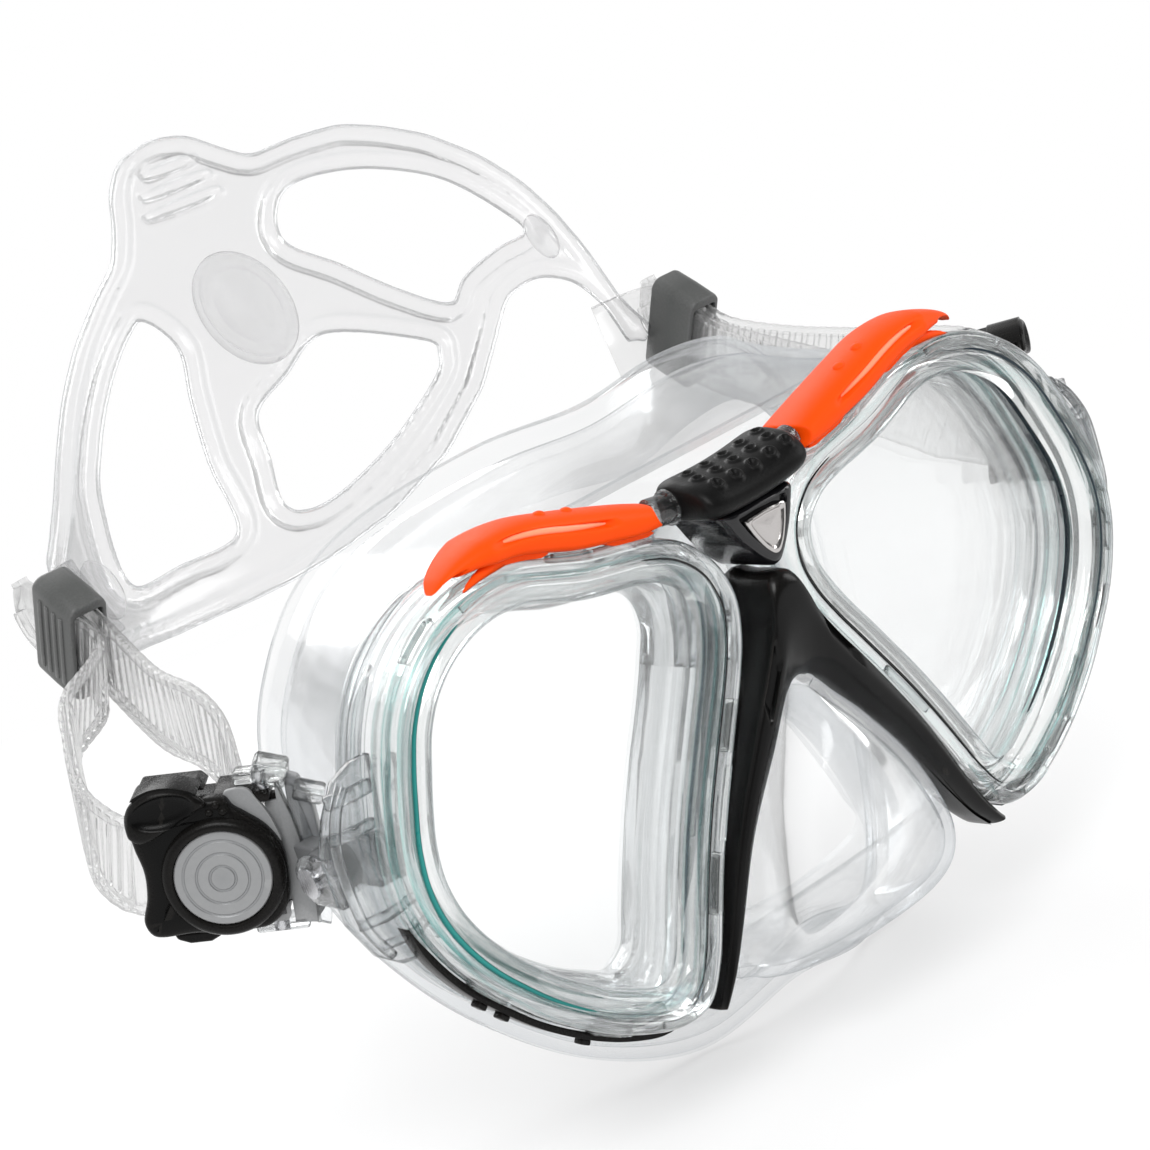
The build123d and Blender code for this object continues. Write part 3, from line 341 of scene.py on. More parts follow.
# ------------------------------------------------------------------ materials
class Tree:
    def __init__(self, name):
        self.m = bpy.data.materials.new(name)
        self.m.use_nodes = True
        self.nt = self.m.node_tree
        self.nt.nodes.clear()
        self.out = self.nt.nodes.new("ShaderNodeOutputMaterial")

    def n(self, kind, ins=None, **props):
        node = self.nt.nodes.new(kind)
        for k, v in props.items():
            setattr(node, k, v)
        for k, v in (ins or {}).items():
            if isinstance(v, bpy.types.NodeSocket):
                self.nt.links.new(v, node.inputs[k])
            else:
                node.inputs[k].default_value = v
        return node

    def math(self, op, a, b=0.5, c=None):
        ins = {0: a, 1: b}
        if c is not None:
            ins[2] = c
        return self.n("ShaderNodeMath", ins, operation=op).outputs[0]

    def mix(self, f, a, b, blend="MIX"):
        return self.n("ShaderNodeMix", {0: f, 6: a, 7: b}, data_type="RGBA", blend_type=blend).outputs[2]

    def ramp(self, f, stops):
        r = self.n("ShaderNodeValToRGB", {0: f})
        e = r.color_ramp.elements
        while len(e) < len(stops):
            e.new(0.5)
        for x, (p, c) in zip(e, stops):
            x.position = p
            x.color = c if len(c) == 4 else (*c, 1)
        return r.outputs[0]

    def coord(self, scale=(1, 1, 1)):
        c = self.n("ShaderNodeTexCoord").outputs["Object"]
        return self.n("ShaderNodeMapping", {"Vector": c, "Scale": scale}).outputs[0]

    def noise(self, scale, detail=2.0, rough=0.5, stretch=(1, 1, 1)):
        return self.n("ShaderNodeTexNoise", {"Vector": self.coord(stretch), "Scale": scale, "Detail": detail, "Roughness": rough}).outputs[0]

    def bump(self, h, dist, strength=1.0):
        return self.n("ShaderNodeBump", {"Height": h, "Distance": dist, "Strength": strength}).outputs[0]

    def done(self, shader):
        self.nt.links.new(shader, self.out.inputs[0])
        return self.m


def rgba(c):
    return (*c, 1.0) if len(c) == 3 else tuple(c)


def clear_mat(name, tint, edge, power=3.0, gloss=1.0, rough=0.06, milk=0.0, milk_edge=0.0, milk_col=(0.95, 0.96, 0.97), real=0.0, ior=1.45, wave=0.0, wave_scale=120.0):
    """See-through plastic or silicone: tinted transmission with painted shade where the wall is seen edge-on,
    a clear-coat reflection, a little milkiness, and slight moulding waves and haze."""
    t = Tree(name)
    haze = t.noise(70.0, 2.0)
    wv = t.noise(wave_scale, 1.0)
    nb = t.bump(wv, 0.0004, wave) if wave else None
    lw = t.n("ShaderNodeLayerWeight", {"Blend": 0.5, **({"Normal": nb} if nb else {})}).outputs["Facing"]
    pw = t.math("POWER", lw, power)
    tintv = t.mix(haze, rgba([c * 0.985 for c in tint]), rgba(tint))
    # painted shade: the tint turns to the darker edge colour where the wall is seen edge-on
    col = t.mix(pw, tintv, rgba(edge))
    through = t.n("ShaderNodeBsdfTransparent", {"Color": col}).outputs[0]
    if real:
        rf = t.n("ShaderNodeBsdfGlass", {"Color": rgba([min(1, c + 0.01) for c in tint]), "Roughness": 0.0, "IOR": ior, **({"Normal": nb} if nb else {})}).outputs[0]
        path = t.n("ShaderNodeLightPath").outputs
        view = t.math("MAXIMUM", path["Is Camera Ray"], path["Is Transmission Ray"])
        through = t.n("ShaderNodeMixShader", {0: t.math("MULTIPLY", view, real), 1: through, 2: rf}).outputs[0]
    if milk or milk_edge:
        mk = t.n("ShaderNodeAddShader", {0: t.n("ShaderNodeBsdfDiffuse", {"Color": rgba([c * 0.62 for c in milk_col])}).outputs[0],
                                         1: t.n("ShaderNodeBsdfTranslucent", {"Color": rgba([c * 0.38 for c in milk_col])}).outputs[0]}).outputs[0]
        amount = t.math("MULTIPLY_ADD", pw, milk_edge, milk)
        amount = t.math("MULTIPLY", amount, t.math("MULTIPLY_ADD", haze, 0.3, 0.85))
        through = t.n("ShaderNodeMixShader", {0: amount, 1: through, 2: mk}).outputs[0]
    coat = t.n("ShaderNodeBsdfGlossy", {"Color": (1, 1, 1, 1), "Roughness": rough, **({"Normal": nb} if nb else {})}).outputs[0]
    fr = t.n("ShaderNodeFresnel", {"IOR": ior, **({"Normal": nb} if nb else {})}).outputs[0]
    return t.done(t.n("ShaderNodeMixShader", {0: t.math("MINIMUM", t.math("MULTIPLY", fr, gloss), 0.9), 1: through, 2: coat}).outputs[0])


def solid_mat(name, col, rough=0.4, spec=0.5, metal=0.0, var=0.08, grain=0.0, grain_scale=900.0, edge=None, coat=0.0, aniso=None, sub=0.0):
    """Opaque moulded part: colour and roughness vary a little, fine grain in the normal, and sharp edges painted paler
    as a highlight.
    """
    t = Tree(name)
    big = t.noise(60.0, 3.0)
    fine = t.noise(grain_scale, 3.0, 0.6)
    c = t.mix(big, rgba([x * (1 - var) for x in col]), rgba([min(1, x * (1 + var)) for x in col]))
    if edge is not None:
        # painted highlight: sharp convex edges take the paler edge colour, broken up a little by the fine noise
        pt = t.n("ShaderNodeNewGeometry").outputs["Pointiness"]
        w = t.math("MULTIPLY", t.ramp(pt, [(0.505, (0, 0, 0)), (0.56, (1, 1, 1))]), t.math("MULTIPLY_ADD", fine, 0.5, 0.1))
        c = t.mix(w, c, rgba(edge))
    r = t.math("MULTIPLY_ADD", fine, 0.16, rough - 0.08)
    if aniso is not None:
        lines = t.noise(400.0, 2.0, 0.6, aniso)
        r = t.math("MULTIPLY_ADD", lines, 0.25, rough - 0.12)
    ins = {"Base Color": c, "Roughness": r, "Metallic": metal, "Specular IOR Level": spec, "Coat Weight": coat, "Coat Roughness": 0.08}
    if sub:
        ins["Subsurface Weight"] = sub
        ins["Subsurface Radius"] = (0.0016, 0.0006, 0.0003)
    if grain:
        ins["Normal"] = t.bump(fine, 0.0002, grain)
    return t.done(t.n("ShaderNodeBsdfPrincipled", ins).outputs[0])


# the second colour of each clear material is the painted shade that clear_mat lays where the wall is seen edge-on
CLEAR = clear_mat("clear_polycarbonate", (0.972, 0.978, 0.976), (0.30, 0.33, 0.34), 3.2, 1.0, 0.04, 0.008, 0.03, real=0.30, ior=1.5, wave=0.25)
FRAME = clear_mat("frame_polycarbonate", (0.965, 0.972, 0.975), (0.29, 0.32, 0.35), 2.9, 1.0, 0.05, 0.01, 0.03, real=0.30, ior=1.5, wave=0.3)
SKIRT = clear_mat("clear_silicone_skirt", (0.990, 0.992, 0.993), (0.62, 0.65, 0.68), 3.8, 0.55, 0.10, 0.012, 0.05, ior=1.41, wave=0.2)
STRAP = clear_mat("clear_silicone_strap", (0.955, 0.955, 0.955), (0.58, 0.58, 0.58), 2.2, 0.7, 0.15, 0.10, 0.16, (0.93, 0.93, 0.93), ior=1.41, wave=0.2)
HEAD = clear_mat("clear_silicone_head_strap", (0.955, 0.953, 0.955), (0.60, 0.62, 0.63), 2.2, 0.7, 0.14, 0.05, 0.12, (0.96, 0.96, 0.97), ior=1.41, wave=0.25)
FROST = clear_mat("frosted_silicone", (0.975, 0.975, 0.975), (0.74, 0.74, 0.75), 2.0, 0.5, 0.3, 0.16, 0.2, (0.93, 0.93, 0.94), ior=1.41, wave=0.2)
GLASS = clear_mat("lens_glass", (0.992, 0.996, 0.996), (0.75, 0.84, 0.84), 4.0, 0.6, 0.02, 0.0, 0.0, ior=1.5)
TEAL = clear_mat("lens_ground_edge", (0.66, 0.88, 0.86), (0.10, 0.42, 0.46), 2.0, 0.6, 0.15, 0.10, 0.1, (0.30, 0.66, 0.62), ior=1.5)
EDGE_T = clear_mat("lens_edge_temple", (0.34, 0.76, 0.71), (0.02, 0.28, 0.31), 1.6, 0.5, 0.15, 0.12, 0.1, (0.10, 0.46, 0.44), ior=1.5)
EDGE_N = clear_mat("lens_edge_nose", (0.42, 0.52, 0.58), (0.03, 0.09, 0.13), 1.6, 0.5, 0.15, 0.10, 0.1, (0.12, 0.22, 0.30), ior=1.5)
SMOKE = clear_mat("smoke_grey_yoke", (0.50, 0.51, 0.52), (0.18, 0.19, 0.20), 1.6, 0.9, 0.15, 0.55, 0.2, (0.40, 0.41, 0.42), ior=1.5)
# each edge= colour below is a painted highlight that solid_mat lays on sharp edges
ORANGE = solid_mat("orange_accent", (0.92, 0.070, 0.001), 0.45, 0.10, var=0.05, grain=0.08, grain_scale=1400, edge=(0.95, 0.09, 0.01), sub=0.03)
# painted highlight: pale pinkish orange for the glint along the accent's slit
SLIT_HIGHLIGHT = solid_mat("orange_slit_painted_highlight", (1.0, 0.30, 0.16), 0.3, 0.35, var=0.05, grain=0.05, grain_scale=1400)
SOFT = solid_mat("soft_black_rubber", (0.004, 0.004, 0.004), 0.36, 0.13, var=0.2, grain=0.22, grain_scale=2200, edge=(0.02, 0.02, 0.02))
SATIN = solid_mat("satin_black_plastic", (0.0025, 0.0025, 0.0025), 0.27, 0.12, var=0.2, grain=0.10, grain_scale=2600, edge=(0.022, 0.02, 0.018))
LINE_T = solid_mat("lens_edge_line_teal", (0.012, 0.24, 0.22), 0.3, 0.4, var=0.25, grain=0.05, grain_scale=900)
LINE_N = solid_mat("lens_edge_line_dark", (0.008, 0.022, 0.034), 0.3, 0.4, var=0.25, grain=0.05, grain_scale=900)
TRIM = solid_mat("satin_black_trim", (0.0025, 0.0025, 0.0025), 0.24, 0.22, var=0.2, grain=0.03, grain_scale=2600, edge=(0.03, 0.026, 0.022))
GLOSSB = solid_mat("gloss_black_plastic", (0.003, 0.003, 0.004), 0.12, 0.35, var=0.2, coat=0.35, edge=(0.02, 0.02, 0.022))
CHROME = solid_mat("chrome_insert", (0.52, 0.50, 0.49), 0.16, 0.5, 1.0, var=0.04, grain=0.03)
BADGE = solid_mat("satin_grey_badge", (0.27, 0.275, 0.28), 0.36, 0.4, 0.45, var=0.06, aniso=(1, 1, 30), grain=0.04, edge=(0.42, 0.42, 0.42))
CRESC = solid_mat("satin_grey_cover", (0.20, 0.205, 0.21), 0.34, 0.35, 0.1, var=0.08, grain=0.06, grain_scale=2400, edge=(0.5, 0.5, 0.5))
KEEPER = solid_mat("dark_grey_keeper", (0.052, 0.055, 0.053), 0.38, 0.3, var=0.10, grain=0.12, grain_scale=2400, edge=(0.25, 0.25, 0.25))
STEEL = solid_mat("pin_steel", (0.62, 0.62, 0.64), 0.25, 0.5, 1.0, var=0.05, aniso=(1, 30, 1))
ACETAL = solid_mat("white_acetal", (0.78, 0.78, 0.76), 0.35, 0.5, var=0.03, grain=0.06)

# ------------------------------------------------------------------ rings and lenses
S = 5
OUT, OPEN, SEATC, LENSC, REAR = [closed(p, S) for p in (RING_OUT, RING_OPEN, SEAT, LENS, REAR_OPEN)]
N = len(OUT)


def between(u):
    return OUT * (1 - u) + OPEN * u


def ring(rows):
    V, F = grid([at(xz, y) for xz, y in rows], True, True)
    return V, F


def arc_block(a, b, d0, d1, y0, y1, mats, base=None, bev=0.25, taper=0.0):
    """Block that follows a ring's outline between samples a and b, from offset d0 to d1 and depth y0 to y1."""
    base = OUT if base is None else base
    lo, hi = outward(base, d0), outward(base, d1)
    idx = np.linspace(a * S, b * S, max(8, int((b - a) * S) + 1))
    R = []
    for q, i in enumerate(idx):
        k0 = int(math.floor(i)) % N
        k1 = (k0 + 1) % N
        f = i - math.floor(i)
        p, r = lo[k0] * (1 - f) + lo[k1] * f, hi[k0] * (1 - f) + hi[k1] * f
        s = q / (len(idx) - 1)
        e = 1.0
        if taper:
            e = min(1.0, max(0.12, math.sin(math.pi * min(s, 1 - s, taper) / taper / 2)))
        m = (p + r) / 2
        p, r = m + (p - m) * e, m + (r - m) * e
        R.append([(p[0], y0, p[1]), (r[0], y0, r[1]), (r[0], y1, r[1]), (p[0], y1, p[1])])
    V, F = grid(R, True, False, True)
    ob = put("block", V, F, 38, mats)
    return bevel(ob, bev, 2) if bev else ob


def make_bezel():
    prof = [(0.0, 7.55), (0.0, 5.75), (0.035, 5.55), (0.035, 4.95), (0.0, 4.75), (0.0, 2.7), (0.012, 1.6), (0.05, 0.75), (0.11, 0.22), (0.19, 0.03),
            (0.27, 0.10), (0.335, 0.42), (0.375, 0.95), (0.40, 1.45), (0.425, 1.62), (0.45, 1.55), (0.475, 1.1), (0.51, 0.62), (0.57, 0.34), (0.66, 0.26),
            (0.76, 0.42), (0.85, 0.78), (0.93, 1.35), (0.98, 2.05), (1.0, 2.8), (1.0, 3.95)]
    rows = [(between(u), y) for u, y in prof]
    rows += [(SEATC, 3.95), (SEATC, 7.55)]
    V, F = ring(rows)
    ob = put("left_bezel_ring", V, F, 34, [CLEAR])
    bits = [ob]
    # snap clips let into the outer wall and the inner side
    for a, b in ((5.3, 6.5), (10.2, 11.4), (18.6, 19.9), (22.3, 23.8), (28.3, 29.5), (32.0, 33.2)):
        bits.append(arc_block(a, b, -0.9, 0.32, 2.6, 4.9, [CLEAR]))
        bits.append(arc_block(a + 0.12, b - 0.12, -0.1, 0.52, 3.2, 4.3, [CLEAR], bev=0.15))
    # shallow rectangular notches' lips on the front bead
    for a, b in ((7.0, 8.5), (20.2, 22.0), (26.6, 27.7)):
        bits.append(arc_block(a, b, -2.1, -0.9, -0.16, 0.5, [CLEAR], bev=0.12))
    # lines lying in the front groove: coloured round the temple, thin and dark beside the nose
    groove = between(0.452)
    for k0, k1, r, mt in ((29.6, 43.2, 0.46, LINE_N), (12.8, 26.4, 0.24, GLOSSB)):
        path = [(groove[int(k * S) % N][0], 1.22, groove[int(k * S) % N][1]) for k in np.arange(k0, k1, 0.2)]
        m = len(path)
        bits.append(tube("line", path, 0.06 + r * np.sin(np.linspace(0.0, math.pi, m)) ** 0.5, [mt], 10))
    return join("left_bezel_ring", bits, 34)


def make_lens(name, line, depth):
    prof = [(outward(LENSC, -0.9), 4.02), (outward(LENSC, -0.3), 4.02), (LENSC, 4.3), (LENSC, 7.2), (outward(LENSC, -0.3), 7.5), (outward(LENSC, -0.9), 7.5)]
    R = [at(xz, y) for xz, y in prof]
    V, F = grid(R, True, False)
    fm = [1] * len(F)
    n = N
    # the ground edge shows stronger where the wall is looked at along the glass: at the temple and beside the nose. It
    # is painted in two tones of the one edge: teal at the temple and a darker, shaded blue beside the nose
    for q in range(n, 4 * n):
        k = (q % n) / S
        if k < 7.5 or k > 29.0:
            fm[q] = 2
        elif 12.5 < k < 26.5:
            fm[q] = 3
    F += [tuple(range(n))[::-1], tuple(5 * n + j for j in range(n))]
    fm += [0, 0]
    bits = [put(name, V, F, 30, [GLASS, TEAL, EDGE_T, EDGE_N], fm)]
    # edge line at the temple, hidden behind the bezel lip from straight ahead
    rim = outward(LENSC, -2.9)
    path = [(rim[int(k * S) % n][0], depth, rim[int(k * S) % n][1]) for k in np.linspace(29.0, 43.4, 73)]
    bits.append(tube("line", path, 0.10 + 0.40 * np.sin(np.linspace(0.0, math.pi, 73)) ** 0.6, [line], 10))
    return join(name, bits, 30)


bezel = make_bezel()
bezel_r = mirrored(bezel, "right_bezel_ring")
# painted shade: the right ring's temple line is teal where the left ring's is dark, lit and shaded tones of the same
# line
for i, mt in enumerate(list(bezel_r.data.materials)):
    if mt == LINE_N:
        bezel_r.data.materials[i] = LINE_T
# painted shade: the left lens's temple line is dark and the right lens's teal, lit and shaded tones of the same edge
lens = make_lens("left_lens_glass", LINE_N, 6.8)
blank = make_lens("lens_blank", LINE_T, 5.0)
lens_r = mirrored(blank, "right_lens_glass")
bpy.data.objects.remove(blank)
for sd, bz, ln in (("left", bezel, lens), ("right", bezel_r, lens_r)):
    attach(bz, "root")
    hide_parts(f"{sd}_bezel")
    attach(ln, "root")
    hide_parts(f"{sd}_lens")


# ------------------------------------------------------------------ frame
def make_frame():
    bits = []
    for s in (1, -1):
        prof = [(0.0, 7.72), (0.0, 9.4), (0.05, 9.7), (0.05, 10.5), (-0.0, 10.8), (0.0, 12.6), (0.07, 13.0), (0.07, 14.2), (0.0, 14.5), (0.0, 15.9), (0.04, 16.6), (0.12, 16.95),
                (0.30, 16.98), (0.55, 16.98), (0.90, 16.9), (0.98, 16.5), (1.0, 15.8), (1.0, 12.2), (0.97, 11.6), (0.86, 11.2), (0.80, 10.4), (0.80, 9.0), (0.78, 7.72)]
        rows = [(OUT * (1 - u) + REAR * u, y) for u, y in prof]
        V, F = ring(rows)
        V[:, 0] *= s
        bits.append(put("ringback", V, F, 34, [FRAME]))
    # bridge between the rings, with an open web below it
    P = Pl((0, 8.7, 0), (1, 0, 0), (0, -1, 0))
    P.y = np.array((0.0, 0.0, 1.0))
    bits.append(prism("bridge", [(-12, 28.0), (-10.5, 29.2), (10.5, 29.2), (12, 28.0), (9.8, 24.5), (8.6, 21), (-8.6, 21), (-9.8, 24.5)], P, 0, -8.2, [FRAME], 0.5))
    bits.append(prism("web", [(-8.6, 20.8), (8.6, 20.8), (7.6, 16.5), (8.0, 14), (9, 9), (10.6, 4.6), (6, 4.6), (3, 8.5), (0, 10), (-3, 8.5), (-6, 4.6), (-10.6, 4.6), (-9, 9), (-8, 14), (-7.6, 16.5)], P, -3.0, -7.9, [FRAME], 0.5))
    for s in (1, -1):
        # round neck from the bridge grip out to the accent
        path = opened([(s * 9.6, 2.6, 33.4), (s * 12.4, 2.8, 33.2), (s * 15.8, 3.2, 33.7)], 12)
        bits.append(tube("neck", path, np.linspace(2.7, 2.35, 12), [FRAME], 24))
        bits.append(tube("neckring", opened([(s * 11.6, 2.75, 33.2), (s * 12.2, 2.8, 33.2)], 4), 3.0, [FRAME], 24))
        # lug plate with two ears and the ribs that tie it to the ring
        lug = [(73.2, 20.5), (77.0, 20.4), (80.5, 19.0), (84.0, 14.4), (86.3, 10.0), (86.3, -1.5), (83.5, -8.0), (80.0, -11.0), (75.5, -12.0), (74.5, -4), (76.0, 4), (74.6, 12)]
        bits.append(prism("lug", [(s * x, z) for x, z in lug], P, 0.85, -1.3, [FRAME], 0.55))
        for x0, x1 in ((75.6, 79.1), (84.9, 86.3)):
            cir = [(14.5 + 3.95 * math.cos(a), 5.0 + 3.95 * math.sin(a)) for a in np.linspace(-math.pi / 2, math.pi / 2, 20)]
            out = cir + [(8.0, 8.95), (8.0, 1.05)]
            E = Pl((0, 0, 0), (0, 1, 0), (1, 0, 0))
            bits.append(prism("ear", out, E, s * x0, s * x1, [FRAME], 0.45))
        for z0, z1, x in ((15.5, 17.8, 83.0), (10.4, 12.2, 84.6), (-3.2, -1.6, 84.8), (-7.6, -6.2, 82.4)):
            bits.append(box_run("rib", [(s * (x - 8.0), 8.4, (z0 + z1) / 2 - 0.6), (s * (x - 4), 7.1, (z0 + z1) / 2 - 0.2), (s * x, 8.6, (z0 + z1) / 2)], z1 - z0, 1.5, [FRAME], (0, 1, 0), 0.35))
        bits.append(tube("bead", opened([(s * 79.9, 7.4, 18.0), (s * 82.6, 7.3, 14.6), (s * 84.6, 7.2, 9.5), (s * 84.8, 7.2, 3.0), (s * 84.2, 7.2, -3.0), (s * 81.6, 7.4, -8.6)], 30), 0.85, [FRAME], 12))
        # dark joint line where the skirt seats inside the ring, beside the nose
        seat = outward(REAR, -0.18)
        path = [(s * seat[int(k * S) % N][0], 12.3, seat[int(k * S) % N][1]) for k in np.linspace(12.6, 26.2, 69)]
        bits.append(tube("joint", path, 0.08 + 0.40 * np.sin(np.linspace(0.0, math.pi, 69)) ** 0.5, [LINE_N], 10))
    # outer wall ribs that give the layered look at the temples
    for d0, d1, y0, y1, a, b in ((-0.6, 1.2, 10.9, 12.2, 30.5, 41.2), (-0.6, 0.9, 14.6, 15.8, 28.0, 43.6)):
        blk = arc_block(a, b, d0, d1, y0, y1, [FRAME], bev=0.3, taper=0.12)
        bits.append(blk)
        bits.append(mirrored(blk, "m"))
    return join("frame_shell", bits, 34)


shell = make_frame()
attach(shell, "root")
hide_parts("frame")


# ------------------------------------------------------------------ accents, grip, shield, insert
def make_accent():
    low, top = opened(ACC_LOW, 150), opened(ACC_TOP[::-1], 150)
    ctrl = [(0.10, 10.1), (0.0, 8.4), (-0.02, 4.5), (0.0, 1.4), (0.08, -0.2), (0.26, -0.85), (0.5, -1.0), (0.72, -0.55), (0.90, 0.5), (1.0, 2.4), (1.03, 5.0), (0.98, 8.2), (0.86, 10.0), (0.5, 10.6)]
    sec = closed(ctrl, 6)
    n = len(sec)
    R = []
    for i in range(150):
        t = i / 149
        w = top[i] - low[i]
        e = min(1.0, (t / 0.03 + 0.25) ** 0.5) * min(1.0, ((1 - t) / 0.24 + 0.004) ** 0.6)
        depth = 0.45 + 0.55 * e if t < 0.5 else 0.10 + 0.90 * e
        row = []
        for u, y in sec:
            yy = 4.6 + (y - 4.6) * depth
            uu = 0.60 + (u - 0.60) * (0.10 + 0.90 * e) if t > 0.5 else 0.5 + (u - 0.5) * (0.25 + 0.75 * e) + 0.0
            # hollow inner end, forked outer end
            j = i + 5.5 * (1 - (2 * uu - 1) ** 2) * max(0.0, 1 - t / 0.10) - 15.0 * math.exp(-((uu - 0.36) / 0.13) ** 2) * max(0.0, (t - 0.86) / 0.14)
            j = min(max(j, 0.0), 148.999)
            j0 = int(j)
            f_ = j - j0
            lo_, hi_ = low[j0] * (1 - f_) + low[j0 + 1] * f_, top[j0] * (1 - f_) + top[j0 + 1] * f_
            p = lo_ + (hi_ - lo_) * uu
            # long slit in the front face
            line = 0.60 + 0.10 * (t - 0.5)
            dd = abs(u - line) * np.linalg.norm(w)
            g = float(smoothstep(0.20, 0.28, t) * (1 - smoothstep(0.66, 0.76, t)))
            if yy < 2.0:
                yy += 1.0 * g * math.exp(-(dd / 0.55) ** 4)
            row.append((p[0], yy, p[1]))
        R.append(row)
    V, F = grid(R, True, False, True)
    ob = put("left_brow_accent", V, F, 50, [ORANGE])
    bits = [ob]
    # pale tapering streak along the slit, a painted highlight
    path = []
    for t in np.linspace(0.26, 0.70, 40):
        i = int(t * 149)
        u = 0.60 + 0.10 * (t - 0.5)
        p = low[i] + (top[i] - low[i]) * u
        path.append((p[0], 0.15, p[1]))
    bits.append(tube("streak", path, 0.75 * np.sin(np.linspace(0.15, math.pi - 0.3, 40)) ** 0.7, [SLIT_HIGHLIGHT], 12))
    for t in (0.36, 0.47):
        i = int(t * 149)
        p = top[i]
        P = Pl((p[0], 3.2, p[1] - 0.5), (1, 0, 0), (0, 0, 1))
        bits.append(lathe("nub", [(0.0, -0.5), (1.15, -0.5), (1.15, 0.35), (0.95, 0.75), (0.55, 1.0), (0.0, 1.08)], P, [ORANGE], 28, 50))
    # second, thinner prong below the outer end
    path = []
    for t in np.linspace(0.66, 0.93, 30):
        i = int(t * 149)
        d = unit(np.array(low[i]) - np.array(top[i]))
        q = (t - 0.66) / 0.27
        p = np.array(low[i]) + d * (-0.7 + 2.1 * q ** 0.8)
        path.append((p[0], 2.2 - 0.8 * q, p[1]))
    bits.append(tube("prong", path, 1.05 * (1 - np.linspace(0, 1, 30) ** 2.2) ** 0.7 + 0.06, [ORANGE], 16))
    # lower tabs that clip over the frame
    for a, b in ((8.5, 9.9), (11.6, 13.0)):
        bits.append(arc_block(a, b, 0.1, 1.5, 0.9, 2.4, [ORANGE], bev=0.3, taper=0.2))
    return join("left_brow_accent", bits, 50)


acc = make_accent()
acc_r = mirrored(acc, "right_brow_accent")
for sd, a in (("left", acc), ("right", acc_r)):
    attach(a, "root")
    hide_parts(f"{sd}_accent")


def make_grip():
    ctrl = [(-6.6, 30.9), (-7.0, 31.9), (-6.6, 33.2), (-5.2, 34.8), (-3.0, 35.9), (0.0, 36.5), (3.0, 36.8), (5.8, 36.3), (7.2, 34.8), (7.3, 32.4), (6.4, 30.2), (3.0, 29.75), (-1.5, 29.75), (-5.2, 30.0)]
    sec = even(closed(ctrl, 12), 150, True)
    cen = np.array((0.0, 32.6))
    xs = np.linspace(-11.3, 11.3, 120)
    centres = []
    for row, yy in enumerate((-4.6, -1.5, 1.8)):
        for k in range(5):
            centres.append(((k - 2) * 3.9 + (0.0 if row % 2 else 0.9), yy))
    R = []
    for x in xs:
        q = abs(x) / 11.3
        e = (1 - q ** 9) ** 0.5 if q < 1 else 0.0
        e = 0.62 + 0.38 * e
        tilt = 0.9 * q * q + 0.045 * x
        row = []
        for y, z in sec:
            yy, zz = cen + (np.array((y, z)) - cen) * e
            zz += tilt
            h = 0.0
            if z > 33.0:
                for cx, cy in centres:
                    r = math.hypot(x - cx, y - cy)
                    if r < 2.0:
                        h += 0.34 * math.exp(-((r - 0.95) / 0.26) ** 2) - 0.30 * math.exp(-(r / 0.62) ** 4)
            nrm = unit((y * 0.55, z - 31.0))
            row.append((x, yy + nrm[0] * h, zz + nrm[1] * h))
        R.append(row)
    V, F = grid(R, True, False, True)
    bits = [put("bridge_grip_cap", V, F, 60, [SOFT])]
    for s in (1, -1):
        bits.append(tube("core", opened([(s * 8.6, 2.6, 33.3), (s * 10.4, 2.65, 33.3), (s * 13.4, 2.85, 33.3)], 8), np.linspace(1.9, 1.5, 8), [SOFT], 18))
    return join("bridge_grip_cap", bits, 60)


grip = make_grip()
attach(grip, "root")
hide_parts("bridge_grip")

FACE = Pl((0, 0, 0), (1, 0, 0), (0, -1, 0))
FACE.y = np.array((0.0, 0.0, 1.0))


def make_shield():
    """Crowned wedge below the cap with a raised edge round the insert's seat."""
    out = even(closed([(-7.4, 29.6), (-3.5, 29.9), (0, 30.0), (3.5, 29.9), (7.4, 29.6), (6.6, 26.9), (5.1, 24.0), (3.0, 21.0), (1.2, 19.0), (0, 18.5), (-1.2, 19.0), (-3.0, 21.0), (-5.1, 24.0), (-6.6, 26.9)], 8), 160, True)
    c = np.array((0.0, 26.0))
    rows = []
    for k, y in ((1.0, 8.4), (1.0, -2.6), (0.985, -3.6), (0.94, -4.3), (0.86, -4.75), (0.78, -4.95), (0.70, -4.9), (0.66, -4.45), (0.64, -4.0), (0.3, -4.0), (0.02, -4.0)):
        rows.append(at(c + (out - c) * k, y))
    V, F = grid(rows, True, False, True)
    return put("bridge_shield_cover", V, F, 34, [GLOSSB])


def make_insert():
    out = even(closed([(-4.4, 27.6), (-2.2, 27.9), (0, 28.0), (2.2, 27.9), (4.4, 27.6), (3.9, 25.6), (3.0, 23.7), (1.9, 21.9), (0.8, 20.7), (0, 20.4), (-0.8, 20.7), (-1.9, 21.9), (-3.0, 23.7), (-3.9, 25.6)], 8), 120, True)
    c = np.array((0.0, 25.2))
    rows = []
    for k, y in ((0.98, -4.02), (0.98, -4.9), (0.95, -5.15), (0.88, -5.3), (0.82, -5.32), (0.76, -5.2), (0.70, -5.0), (0.62, -4.98), (0.34, -5.12), (0.02, -5.2)):
        rows.append(at(c + (out - c) * k, y))
    V, F = grid(rows, True, False, True)
    return put("bridge_chrome_insert", V, F, 30, [CHROME])


shield, insert = make_shield(), make_insert()
for o, nd, sl in ((shield, "bridge_shield", "gloss_black"), (insert, "bridge_insert", "chrome")):
    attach(o, "root")
    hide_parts(nd)


